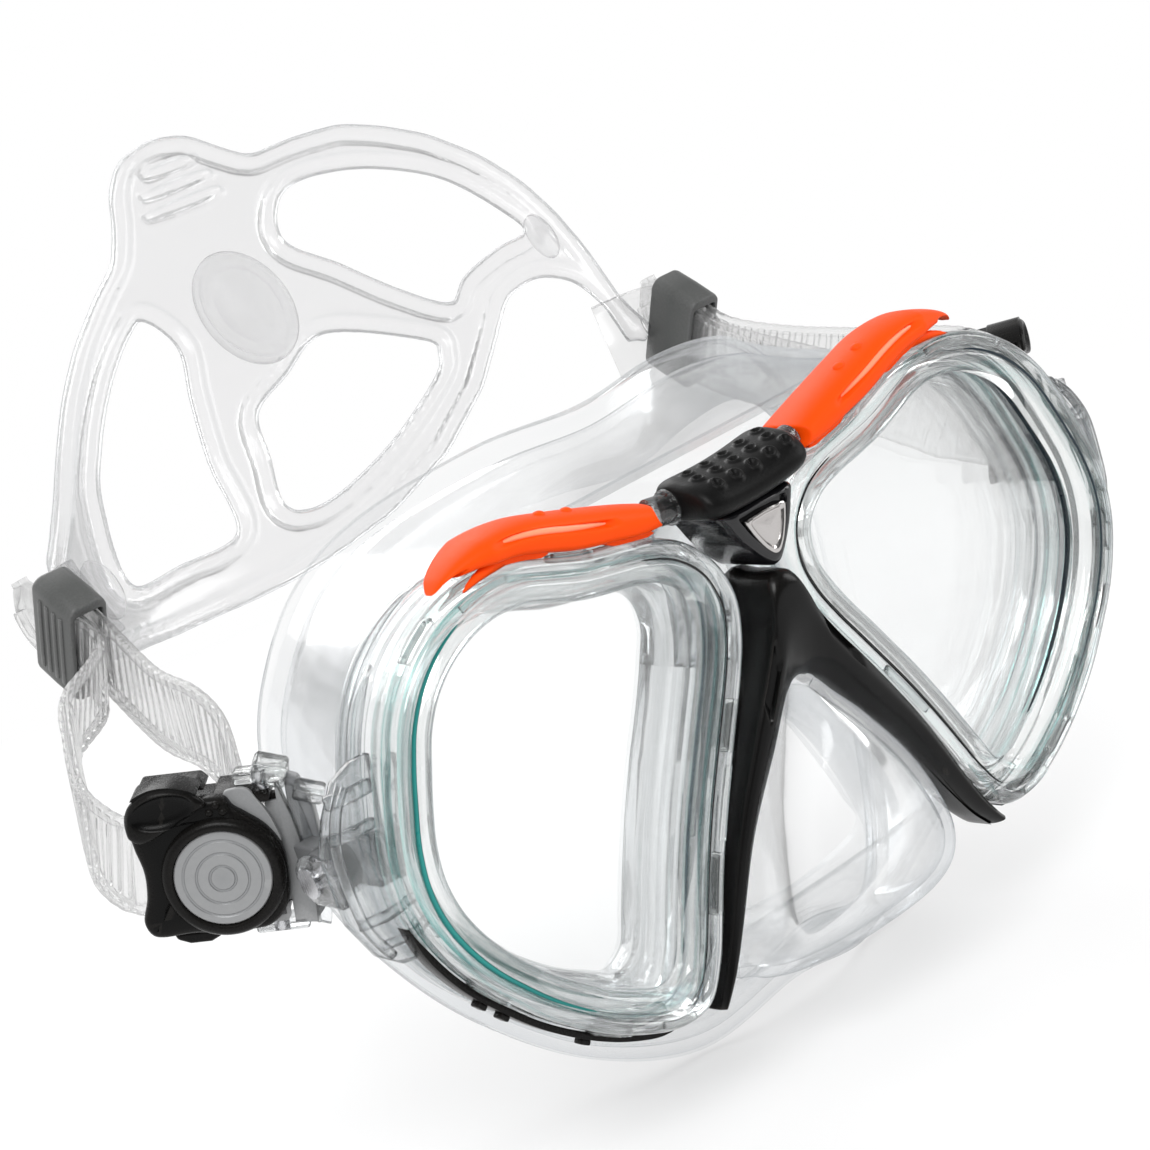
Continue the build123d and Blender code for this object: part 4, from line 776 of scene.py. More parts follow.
# ------------------------------------------------------------------ nose trim and lower trims
def make_nose_trim():
    n = 110
    outer = opened([(0.0, 17.6), (1.7, 17.2), (2.9, 16.0), (3.8, 13.8), (5.0, 9.8), (8.3, 3.8), (12.1, -2.0), (15.6, -7.7), (19.0, -13.4), (22.1, -19.2), (25.0, -25.2),
                    (27.7, -31.2), (30.6, -37.0), (33.2, -41.2), (34.4, -42.8)], n)
    inner = opened([(0.0, -0.9), (1.6, -1.3), (3.2, -2.3), (5.8, -4.6), (10.0, -10.4), (14.6, -17.8), (19.2, -25.8), (23.4, -33.6), (27.2, -39.8), (29.6, -42.6), (31.0, -43.9)], n)
    ctrl = [(0.02, 8.1), (0.0, 3.0), (0.0, -2.2), (0.02, -3.6), (0.10, -4.8), (0.24, -5.35), (0.42, -5.7), (0.60, -5.35), (0.80, -4.4), (0.93, -3.0), (1.0, -1.0), (1.0, 3.0), (0.98, 8.1), (0.5, 8.2)]
    sec = closed(ctrl, 5)
    R = []
    for s in (-1, 1):
        order = range(n - 1, -1, -1) if s < 0 else range(1, n)
        for i in order:
            t = i / (n - 1)
            a, b = outer[i], inner[i]
            b = a + (b - a) * (1 - 0.24 * float(smoothstep(0.22, 0.62, t)))
            row = []
            for u, y in sec:
                p = a + (b - a) * u
                lean = 0.09 * (14.0 - p[1])
                wide = np.linalg.norm(b - a)
                crown = min(1.0, wide / 12.0)
                yy = y + lean if y < 2 else y
                if y < 2:
                    yy += (1 - crown) * 0.9 * (1 if y < -3 else 0.4)
                    # slot-like recess near the top of each leg
                    g = float(smoothstep(0.14, 0.165, t) * (1 - smoothstep(0.27, 0.31, t)))
                    g *= float(smoothstep(0.10, 0.15, u) * (1 - smoothstep(0.34, 0.39, u)))
                    yy += 0.9 * g
                row.append((s * p[0], yy, p[1]))
            R.append(row)
    V, F = grid(R, True, False, True)
    return put("nose_wishbone", V, F, 40, [TRIM])


trim = make_nose_trim()
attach(trim, "root")
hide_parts("nose_trim")


def make_lower_trim():
    bits = [arc_block(26.35, 35.2, 0.3, 1.4, 4.6, 7.7, [SATIN], bev=0.4, taper=0.12)]
    for a in (29.2, 31.6, 32.3):
        bits.append(arc_block(a, a + 0.28, 1.3, 2.3, 5.2, 7.2, [SATIN], bev=0.35))
    return join("left_lower_strip", bits, 40)


lt = make_lower_trim()
lt_r = mirrored(lt, "right_lower_strip")
for sd, o in (("left", lt), ("right", lt_r)):
    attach(o, "root")
    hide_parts(f"{sd}_lower_trim")


# ------------------------------------------------------------------ skirt
def half_loop(pts, flip=-1):
    """24-point loop from its +X half: index 0 at +X, 6 top, 18 bottom; pts maps index to a point."""
    out = []
    for i in range(24):
        if i in pts:
            out.append(pts[i])
        else:
            k = (12 - i) if i <= 12 else (36 - i)
            p = pts[k % 24]
            out.append((p[0] * flip, *p[1:]))
    return out


SK_A = half_loop({0: (74.6, 17.1, 0.0), 1: (73.2, 17.1, 15.0), 2: (67.4, 17.1, 27.5), 3: (56.0, 17.1, 34.8), 4: (42.0, 17.1, 36.8), 5: (22.0, 17.1, 36.9), 6: (0.0, 17.1, 37.0),
                  18: (0.0, 17.1, -43.5), 19: (20.0, 17.1, -43.2), 20: (36.0, 17.1, -41.6), 21: (50.0, 17.1, -36.2), 22: (64.0, 17.1, -26.2), 23: (72.8, 17.1, -14.0)})
SK_R = half_loop({0: (64.6, 57.6, 2.0), 1: (64.2, 56.4, 14.0), 2: (60.4, 52.6, 25.6), 3: (52.0, 49.2, 36.4), 4: (40.2, 43.8, 43.2), 5: (20.0, 35.6, 47.0), 6: (0.0, 33.0, 46.0),
                  18: (0.0, 25.0, -58.5), 19: (20.0, 29.5, -62.2), 20: (36.0, 38.5, -56.6), 21: (49.0, 47.5, -44.0), 22: (57.6, 53.5, -29.5), 23: (62.8, 57.0, -14.5)})
SK_BULGE = half_loop({0: (0.6, 0, 0), 1: (0.4, 0, 0), 2: (-0.6, 0, 0), 3: (-0.7, 0, 0), 4: (-0.5, 0, 0), 5: (-0.2, 0, 0), 6: (0.4, 0, 0), 18: (1.5, 0, 0), 19: (2.8, 0, 0), 20: (3.2, 0, 0), 21: (2.4, 0, 0), 22: (1.6, 0, 0), 23: (1.0, 0, 0)}, 1)


def make_skirt():
    A, R = closed(SK_A, 9), closed(SK_R, 9)
    B = closed(SK_BULGE, 9)[:, 0]
    cen = np.array((0.0, 0.0, -6.0))
    inw = cen - R
    inw[:, 1] = 0
    inw /= np.linalg.norm(inw, axis=1)[:, None]
    C = (A + R) / 2 - inw * B[:, None] * 2 + np.array((0, -1.0, 0))
    back = np.array((0.0, 1.0, 0.0))

    def wall(s, t):
        p = A * (1 - s) ** 2 + C * 2 * s * (1 - s) + R * s * s
        return p + inw * t

    rows = [wall(s, 0.0) for s in np.linspace(0, 0.965, 22)]
    # the wall swells into a soft rounded bead at the rim
    rows += [wall(0.985, -0.35), R + inw * -0.5 + back * 0.35, R + inw * 0.1 + back * 1.0, R + inw * 0.9 + back * 1.15, R + inw * 2.0 + back * 0.7]
    # feathered inner seal turned in from the rim
    rows += [R + inw * 4.0 - back * 0.3, R + inw * 7.0 - back * 2.0, R + inw * 9.6 - back * 4.4, R + inw * 11.3 - back * 6.9, R + inw * 11.6 - back * 7.6,
             R + inw * 11.0 - back * 7.7, R + inw * 9.0 - back * 5.4, R + inw * 6.6 - back * 3.4, R + inw * 4.2 - back * 2.2]
    rows += [wall(s, t) for s, t in ((0.93, 2.6), (0.88, 2.1))] + [wall(s, 1.8) for s in np.linspace(0.84, 0.0, 20)]
    V, F = grid(rows, True, True)
    tubeo = put("skirtwall", V, F, 50, [SKIRT])
    bits = [tubeo]
    # front wall with the two lens openings and the way into the nose pocket
    nose = even(closed([(0, -3.5), (3.0, -5.0), (8.0, -12), (12.5, -22), (16.0, -32), (16.6, -38), (0, -40.5), (-16.6, -38), (-16.0, -32), (-12.5, -22), (-8.0, -12), (-3.0, -5.0)], 6), 80, True)
    bm = bmesh.new()
    edges = []
    for loop in (np.delete(A, 1, 1) * 0.985, outward(REAR, 1.2), outward(REAR, 1.2) * np.array((-1, 1)), nose):
        vs = [bm.verts.new((x * K, 17.15 * K, z * K)) for x, z in loop]
        edges += [bm.edges.new((vs[i], vs[(i + 1) % len(vs)])) for i in range(len(vs))]
    made = bmesh.ops.triangle_fill(bm, use_beauty=True, edges=edges, normal=(0, 1, 0))
    faces = [f for f in made["geom"] if isinstance(f, bmesh.types.BMFace)]
    ext = bmesh.ops.extrude_face_region(bm, geom=faces)
    bmesh.ops.translate(bm, vec=(0, 1.7 * K, 0), verts=[v for v in ext["geom"] if isinstance(v, bmesh.types.BMVert)])
    me = bpy.data.meshes.new("front")
    bm.to_mesh(me)
    bm.free()
    me.materials.append(SKIRT)
    ob = bpy.data.objects.new("front", me)
    bpy.context.scene.collection.objects.link(ob)
    tidy(ob, 30)
    bits.append(ob)
    # nose pocket
    rows = opened([(-1.4, 2.4, -3.4), (-4.5, 4.0, -6.2), (-10.0, 7.6, -9.8), (-20.0, 13.2, -12.6), (-31.0, 17.0, -13.3), (-38.0, 18.2, -11.0), (-43.0, 17.9, -6.4), (-46.6, 16.8, 0.6), (-48.8, 15.6, 8.6), (-49.6, 14.6, 15.6)], 46)
    R2 = []
    for z, hw, fy in rows:
        d = 18.3 - fy
        pts = [(-hw - 1.6, 18.3), (-hw - 0.3, fy + d * 0.62), (-hw, fy + d * 0.34), (-hw * 0.86, fy + d * 0.15), (-hw * 0.5, fy + d * 0.03), (0, fy),
               (hw * 0.5, fy + d * 0.03), (hw * 0.86, fy + d * 0.15), (hw, fy + d * 0.34), (hw + 0.3, fy + d * 0.62), (hw + 1.6, 18.3)]
        R2.append([(x, y, z) for x, y in opened(pts, 60)])
    V, F = grid(R2, False, False)
    ob = put("pocket", V, F, 60, [SKIRT])
    m = ob.modifiers.new("wall", "SOLIDIFY")
    m.thickness, m.offset = 1.7 * K, -1.0
    m.use_even_offset = True
    bits.append(bake(ob, 50))
    return join("face_skirt", bits, 50)


skirt = make_skirt()
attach(skirt, "root")
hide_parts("skirt")


# ------------------------------------------------------------------ head strap
def sheet(x, z, h=0.0):
    """Point on the head strap: h 0 is the front face, 2.4 the back face."""
    return np.array((x, 104 + (z - 26) * 0.5 - 22 * abs(x / 76.0) ** 4 + h, z))


def make_head_strap():
    outer = poly(HEAD_OUT, 640)
    k = np.ones(9) / 9
    outer = np.stack([np.convolve(np.r_[outer[-4:, i], outer[:, i], outer[:4, i]], k, "valid") for i in (0, 1)], 1)
    holes = [even(closed(p, 8), 240, True) for p in (OPEN_UP, OPEN_LOW, OPEN_MID)]
    bm = bmesh.new()
    edges = []
    for lp_ in [outer] + holes:
        vs = [bm.verts.new((x, 0, z)) for x, z in lp_]
        edges += [bm.edges.new((vs[i], vs[(i + 1) % len(vs)])) for i in range(len(vs))]
    bmesh.ops.triangle_fill(bm, use_beauty=True, edges=edges, normal=(0, 1, 0))
    for x in np.arange(-64, 65, 3.2):
        bmesh.ops.bisect_plane(bm, geom=bm.verts[:] + bm.edges[:] + bm.faces[:], plane_co=(float(x), 0, 0), plane_no=(1, 0, 0))
    bmesh.ops.triangulate(bm, faces=bm.faces[:])
    n = len(bm.verts)
    bm.verts.index_update()
    V2 = [(v.co.x, v.co.z) for v in bm.verts]
    F2 = [tuple(v.index for v in f.verts) for f in bm.faces]
    rim = [(e.verts[0].index, e.verts[1].index) for e in bm.edges if len(e.link_faces) == 1]
    bm.free()
    V = [tuple(sheet(x, z, 0.15)) for x, z in V2] + [tuple(sheet(x, z, 2.1)) for x, z in V2]
    F = F2 + [tuple(i + n for i in f[::-1]) for f in F2] + [(a, b, b + n, a + n) for a, b in rim]
    bits = [put("body", V, F, 60, [HEAD])]
    bits.append(tube("bead", [sheet(x, z, 1.15) for x, z in outward(outer, -1.3)], 1.95, [HEAD], 14, True))
    for lp_ in holes:
        bits.append(tube("bead", [sheet(x, z, 1.15) for x, z in outward(lp_, 1.1)], 1.85, [HEAD], 14, True))
    for z, hw, sx in ((89.6, 8.0, 2.0), (93.0, 7.2, 3.0), (96.4, 5.6, 4.0)):
        for h in (-0.1, 2.3):
            path = [sheet(x, z, h) for x in np.linspace(sx - hw, sx + hw, 18)]
            bits.append(tube("rib", path, 1.25 * np.sin(np.linspace(0.3, math.pi - 0.3, 18)) ** 0.4, [HEAD], 12))
    ob = join("head_strap_pad", bits, 60)
    return remesh(ob, 0.6, 3, 0.5, 70)


def make_discs():
    """Frosted discs set into the strap: one at the hub, a small one near each keeper."""
    nrm = unit((0, -1, 0.5))
    bits = []
    for cx, cz, r, h, tall in ((0.5, 68.6, 9.5, 0.8, 1.27), (-58.6, 37.6, 3.1, 0.6, 1.9), (61.0, 60.0, 2.9, 0.6, 1.7)):
        P = Pl(sheet(cx, cz), (1, 0, 0), nrm)
        P.y = P.y * tall
        prof = [(0.0, -0.6), (r, -0.6), (r, h * 0.45), (r - 0.2, h * 0.85), (r - 0.55, h), (r - 0.95, h * 0.85), (r - 1.15, h * 0.4), (r * 0.72, h * 0.4), (r * 0.69, h * 0.72), (r * 0.63, h * 0.72),
                (r * 0.60, h * 0.4), (0.0, h * 0.4)] if r > 5 else [(0.0, -0.6), (r, -0.6), (r, h * 0.3), (r - 0.3, h * 0.6), (r - 0.8, h * 0.7), (0.0, h * 0.7)]
        bits.append(lathe("disc", prof, P, [FROST], 72))
    return join("head_strap_discs", bits, 60)


discs = make_discs()
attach(discs, "strap")
hs = make_head_strap()
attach(hs, "strap")
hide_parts("head_strap", "right_strap_run", "left_strap_run")

# ------------------------------------------------------------------ buckle frame (wearer's right)
Q = np.array((-83.0, 25.5, 5.5))
_p, _t = math.radians(50), math.radians(11)
FWD = np.array((math.sin(_p) * math.cos(_t), -math.cos(_p) * math.cos(_t), -math.sin(_t)))
OUTW = np.array((-math.cos(_p), -math.sin(_p), 0.0))
UPW = np.cross(OUTW, FWD)


def loc(x, y, z):
    return Q + FWD * x + UPW * y + OUTW * z


BP = Pl(Q, FWD, OUTW)
S_DIR = np.array((0.0, math.cos(math.radians(32)), math.sin(math.radians(32))))
W_DIR = np.array((0.0, -math.sin(math.radians(32)), math.cos(math.radians(32))))
KC = np.array((-71.6, 92.5, 35.5))
MID_Y = 2.5


def on_run(x, s):
    return np.array((x, KC[1], KC[2])) + S_DIR * s


# ------------------------------------------------------------------ ribbed strap, one loop a side
def make_loop(drop=0.0):
    """Flat ribbed strap from the head strap through the keeper, round the roller and back to its tail.
    drop lowers the outer strand, as it hangs on the far side."""
    lean = unit((0, 0.45, 0.9))
    hang = unit((0, -0.42, 0.9))
    pts = [(sheet(-60.5, 37.2, 1.4), lean), (sheet(-65.5, 37.6, 1.4), unit((0, 0.2, 1.0))), (on_run(-69.7, 5.0), W_DIR), (on_run(-70.0, -2.0), W_DIR), (on_run(-70.6, -11.0), W_DIR),
           ((-73.2, 68.0, 23.9), hang), ((-73.4, 57.0, 21.2), hang), ((-75.4, 47.8, 18.0), unit((0.02, -0.34, 0.94))), ((-79.2, 40.6, 13.2), unit((0.1, -0.2, 0.97))), (loc(-7.07, MID_Y + 0.6, -8.7), UPW)]
    for a in range(-30, 91, 12):
        pts.append((loc(-6.5 + 3.25 * math.cos(math.radians(a)), MID_Y, -2.4 + 3.25 * math.sin(math.radians(a))), UPW))
    pts += [(loc(-14.0, MID_Y, 0.85), UPW), (loc(-22.8, MID_Y, 0.85), UPW),
            ((-101.2, 46.2, 15.2 - drop * 0.2), unit((0.12, -0.3, 0.95))), ((-98.8, 53.4, 18.4 - drop * 0.5), unit((-0.08, -0.52, 0.84))),
            ((-93.4 + drop * 0.2, 62.2, 22.8 - drop), unit((-0.24, -0.66, 0.70))), ((-86.4 + drop * 0.3, 72.3, 26.6 - drop), unit((-0.22, -0.66, 0.72))),
            (on_run(-74.0, -12.0), W_DIR), (on_run(-73.2, -2.0), W_DIR), (on_run(-73.2, 6.5), W_DIR), (on_run(-73.3, 9.0) + W_DIR * 1.6, W_DIR), (on_run(-73.5, 12.2) + W_DIR * 4.6, W_DIR)]
    C = np.array([p[0] for p in pts])
    Wd = np.array([p[1] for p in pts])
    both = opened(np.hstack([C, Wd * 4.0]), 60)
    length = np.sum(np.linalg.norm(np.diff(both[:, :3], axis=0), axis=1))
    pitch = 2.5
    n = int(length / pitch * 8)
    both = opened(np.hstack([C, Wd * 1e-3]), n)
    wd = both[:, 3:]
    L = np.concatenate([[0], np.cumsum(np.linalg.norm(np.diff(both[:, :3], axis=0), axis=1))])
    total = L[-1]
    half = [(-7.7, 0.0), (-7.66, 0.55), (-7.45, 0.85), (-7.1, 0.92), (-6.6, 0.92), (-6.35, 0.8), (-6.15, 0.0), (-5.9, 0.0), (-3.0, 0.0), (0.0, 0.0), (3.0, 0.0), (5.9, 0.0), (6.15, 0.0), (6.35, 0.8), (6.6, 0.92), (7.1, 0.92), (7.45, 0.85), (7.66, 0.55)]
    R = []
    for i in range(n):
        t = unit(both[min(i + 1, n - 1), :3] - both[max(i - 1, 0), :3])
        w = unit(wd[i] - t * np.dot(wd[i], t))
        o = np.cross(t, w)
        ph = (L[i] / pitch) % 1.0
        rib = 1.0 - float(smoothstep(0.22, 0.34, abs(ph - 0.5)))
        fade = float(smoothstep(20, 22, L[i]) * (1 - smoothstep(total - 7, total - 5, L[i])))
        end = min(1.0, max(0.12, (total - L[i]) / 6.5)) ** 0.75
        low = 0.48 * fade + 0.75 * (1 - fade)
        row, back = [], []
        for a, h in half:
            wide = a * (1 + 0.014 * rib * fade) * end
            if abs(a) <= 6.15:
                c = low + (0.46 * rib * fade if abs(a) < 6.0 else 0.0)
            else:
                c = h
            row.append(both[i, :3] + w * wide + o * c)
            back.append(both[i, :3] + w * wide - o * c)
        row.append(both[i, :3] + w * 7.7 * end)
        R.append(row + back[1:][::-1])
    V, F = grid(R, True, False, True)
    return put("loop", V, F, 42, [STRAP])


loop_r = make_loop(0.0)
loop_r.name = "right_strap_loop"
loop_l = make_loop(4.2)
tmp = mirrored(loop_l, "left_strap_loop")
bpy.data.objects.remove(loop_l)
loop_l = tmp
for sd, o, s in (("right", loop_r, 1), ("left", loop_l, -1)):
    a, b = (-87.0, 77.0, 26.0), (-92.0, 43.0, 14.0)
    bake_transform(o)
    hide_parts(f"{sd}_strap_wrap")


# ------------------------------------------------------------------ keepers
def rounded(w, h, r, n=10):
    out = []
    for cx, cy, a0 in ((w / 2 - r, h / 2 - r, 0), (-w / 2 + r, h / 2 - r, 90), (-w / 2 + r, -h / 2 + r, 180), (w / 2 - r, -h / 2 + r, 270)):
        for k in range(n):
            a = math.radians(a0 + 90 * k / (n - 1))
            out.append((cx + r * math.cos(a), cy + r * math.sin(a)))
    return out


def make_keeper():
    P = Pl(on_run(KC[0], -5.5), (1, 0, 0), S_DIR)
    rows = []
    for w, h, r, z in ((6.9, 19.6, 1.9, 0.0), (7.35, 20.1, 2.1, 0.15), (7.6, 20.4, 2.2, 0.6), (7.75, 20.5, 2.2, 5.5), (7.6, 20.4, 2.2, 10.4), (7.35, 20.1, 2.1, 10.85), (6.9, 19.6, 1.9, 11.0),
                       (5.9, 16.7, 0.8, 11.0), (5.6, 16.3, 0.6, 10.8), (5.5, 16.2, 0.5, 10.3), (5.5, 16.2, 0.5, 0.7), (5.6, 16.3, 0.6, 0.2), (5.9, 16.7, 0.8, 0.0)):
        rows.append([P(p, z) for p in rounded(w, h, r)])
    V, F = grid(rows, True, True)
    bits = [put("sleeve", V, F, 50, [KEEPER])]
    for h in (2.6, 4.6, 6.6, 8.6):
        path = [P((-3.75, y), h) for y in (-7.2, -4, 0, 4, 7.2)]
        bits.append(box_run("rib", path, 0.9, 0.95, [KEEPER], S_DIR, 0.3))
    return join("right_keeper_sleeve", bits, 50)


kp = make_keeper()
kp_l = mirrored(kp, "left_keeper_sleeve")
for sd, o in (("right", kp), ("left", kp_l)):
    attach(o, f"{sd}_keeper")
    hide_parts(f"{sd}_keeper")

# ------------------------------------------------------------------ buckles
BODY = [(0.2, -3.4), (0.45, 0.9), (0.0, 4.4), (-1.9, 7.6), (-4.6, 9.9), (-6.3, 11.2), (-7.2, 12.6), (-8.8, 13.1), (-12.0, 13.0), (-16.0, 12.8), (-20.0, 12.0), (-22.0, 10.2), (-21.8, 6.6), (-20.9, 2.5), (-21.1, -1.6), (-22.1, -5.2), (-21.3, -7.4), (-19.4, -8.1), (-14.8, -7.9), (-10.5, -8.3), (-5.6, -8.3), (-3.2, -7.9), (-1.1, -6.2)]


def make_buckle():
    out = even(closed(BODY, 8), 220, True)
    rows = []
    for d, z in ((-0.6, 2.2), (-0.15, 2.35), (0.0, 2.8), (0.0, 4.1), (-0.22, 4.75), (-0.65, 5.1), (-1.3, 5.22), (-3.0, 5.2)):
        rows.append([BP(p, z) for p in outward(out, d)])
    V, F = grid(rows, True, False, True)
    bits = [put("plate", V, F, 40, [SATIN])]
    C = Pl(loc(-9.0, 0.9, 0), FWD, OUTW)
    bits.append(lathe("collar", [(7.5, 4.6), (7.5, 6.05), (7.62, 6.3), (7.9, 6.42), (8.4, 6.36), (8.9, 6.05), (9.25, 5.55), (9.35, 5.0), (9.2, 4.6)], C, [SATIN], 96))
    for x, y in ((-7.6, 10.95), (-8.5, 12.1), (-9.6, 11.05)):
        bits.append(lathe("nub", [(0.0, -0.3), (0.62, -0.3), (0.62, 0.15), (0.45, 0.42), (0.2, 0.52), (0.0, 0.55)], Pl(loc(x, y, 5.15), FWD, OUTW), [SATIN], 20))
    walls = ([(-0.95, 10.8), (-0.95, 12.0), (-4.8, 12.9), (-9.2, 12.9), (-9.6, 11.9), (-21.0, 11.9), (-21.0, 10.8)],
             [(-0.65, -5.8), (-0.65, -7.4), (-4.0, -7.9), (-9.8, -7.9), (-10.2, -7.0), (-19.0, -7.0), (-19.2, -7.8), (-21.0, -7.6), (-21.0, -5.8)])
    for w in walls:
        bits.append(prism("wall", w, BP, -5.8, 2.6, [SATIN], 0.3, 2))
    bits.append(prism("bar", [(-1.75, -6.2), (-0.05, -6.2), (-0.05, 11.2), (-1.75, 11.2)], BP, -1.8, 0.1, [SATIN], 0.3, 2))
    bits.append(prism("corner", [(-5.4, -8.05), (-3.2, -8.25), (-0.9, -8.25), (-0.35, -7.4), (-0.3, -5.4), (-2.5, -5.8), (-4.4, -7.0)], BP, 1.95, 2.6, [CRESC], 0.12, 2))
    # pale corner that carries the crescent up behind the badge ring
    bits.append(prism("corner", [tuple(p) for p in even(closed([(-7.6, 7.6), (-7.7, 12.6), (-6.2, 13.5), (-4.0, 13.3), (-2.6, 11.4), (-1.4, 9.2), (-0.5, 6.8), (-0.1, 4.4), (-2.4, 4.2), (-5.0, 6.2)], 6), 70, True)], BP, 2.0, 2.9, [CRESC], 0.2, 2))
    return join("right_buckle_shell", bits, 40)


def make_badge():
    C = Pl(loc(-9.0, 0.9, 0), FWD, OUTW)
    prof = [(0.0, 5.25), (7.38, 5.25), (7.38, 5.85), (7.2, 6.03), (6.9, 6.1), (6.2, 6.1), (6.05, 5.98), (5.85, 5.98), (5.7, 6.12), (4.2, 6.14), (4.05, 6.0), (3.85, 6.0), (3.7, 6.14), (2.2, 6.14), (2.05, 5.98), (1.85, 5.98), (1.7, 6.14), (0.6, 6.18), (0.0, 6.18)]
    return lathe("right_badge_disc", prof, C, [BADGE], 96, 30)


def make_button(upper):
    if upper:
        out = [(-21.2, 13.5), (-20.4, 15.3), (-17.6, 16.5), (-14.6, 16.5), (-11.3, 15.2), (-10.1, 13.5)]
        stem, y0 = (-19.0, 11.9), 9.6
        ribs = [(-18.8, 15.9), (-16.9, 16.35), (-15.0, 16.35), (-13.1, 15.8)]
        name = "right_upper_press"
    else:
        out = [(-18.6, -8.6), (-18.2, -9.8), (-16.2, -10.6), (-13.0, -10.6), (-11.2, -9.7), (-10.8, -8.6)]
        stem, y0 = (-18.0, -6.7), -8.9
        ribs = [(-16.6, -10.4), (-14.7, -10.55), (-12.8, -10.4)]
        name = "right_lower_press"
    if upper:
        foot = [(x, min(y, 14.7)) for x, y in ((-21.0, 13.5), (-20.3, 14.7), (-11.4, 14.7), (-10.3, 13.5))]
        bits = [prism("foot", foot, BP, -4.5, 1.95, [SATIN], 0.4, 3)]
        # thumb lobe: rolls over the top of the plate and lies just in front of it, with an oval dish
        crest = opened([(-20.9, 14.35), (-20.1, 15.0), (-17.7, 15.85), (-14.8, 15.9), (-12.2, 15.15), (-10.9, 14.35)], 40)
        bits.append(prism("cap", [tuple(p) for p in crest], BP, 0.2, 6.15, [SATIN], 0.6, 4))
        lobe = even(closed([(-22.2, 9.6), (-22.1, 11.9), (-20.9, 14.0), (-18.3, 15.5), (-15.2, 15.8), (-12.3, 15.1), (-10.4, 13.7), (-9.9, 12.6), (-11.6, 11.7), (-14.0, 10.6), (-17.0, 8.7), (-20.0, 7.6), (-21.7, 8.3)], 8), 150, True)
        cen = np.array((-16.4, 12.3))
        dish = np.array([cen + np.array((4.9 * math.cos(q) - 0.9 * math.sin(q), 2.5 * math.sin(q) + 1.1 * math.cos(q))) for q in np.linspace(0, 2 * math.pi, 151)[:-1]])
        start = int(np.argmin(np.linalg.norm(lobe - dish[0] * 1.0 - (dish[0] - cen) * 0.3, axis=1)))
        turn = lobe if np.cross(lobe[1] - cen, lobe[0] - cen) < 0 else lobe[::-1]
        start = int(np.argmin(np.linalg.norm(turn - (cen + (dish[0] - cen) * 1.35), axis=1)))
        turn = np.roll(turn, -start, 0)
        rows = [[BP(p, z) for p in cen + (turn - cen) * k] for k, z in ((0.955, 5.34), (0.985, 5.42), (1.0, 5.75), (0.985, 6.1), (0.95, 6.36))]
        rows += [[BP(p, z) for p in dish * w_ + (cen + (turn - cen) * 0.95) * (1 - w_)] for w_, z in ((0.35, 6.62), (0.75, 6.78), (1.0, 6.72))]
        rows += [[BP(p, z) for p in cen + (dish - cen) * k] for k, z in ((0.93, 6.5), (0.85, 6.22), (0.6, 5.98), (0.3, 5.9), (0.02, 5.88))]
        V, F = grid(rows, True, False, True)
        bits.append(put("lobe", V, F, 50, [SATIN]))
    else:
        bits = [prism("cap", out, BP, -4.5, 1.95, [SATIN], 0.75, 4)]
        for x, y in ribs:
            bits.append(tube("rib", [loc(x, y + 0.1, z) for z in np.linspace(-3.6, 1.1, 8)], 0.42 * np.sin(np.linspace(0.4, math.pi - 0.4, 8)) ** 0.4, [SATIN], 10))
    s = 1 if upper else -1
    a = 9.6 if upper else -4.5
    b = 14.0 if upper else -8.9
    bits.append(prism("stem", [(stem[0] - 0.95, min(a, b)), (stem[0] + 0.95, min(a, b)), (stem[0] + 0.95, max(a, b)), (stem[0] - 0.95, max(a, b))], BP, -3.95, -2.45, [SATIN], 0.15, 2))
    return join(name, bits, 40)


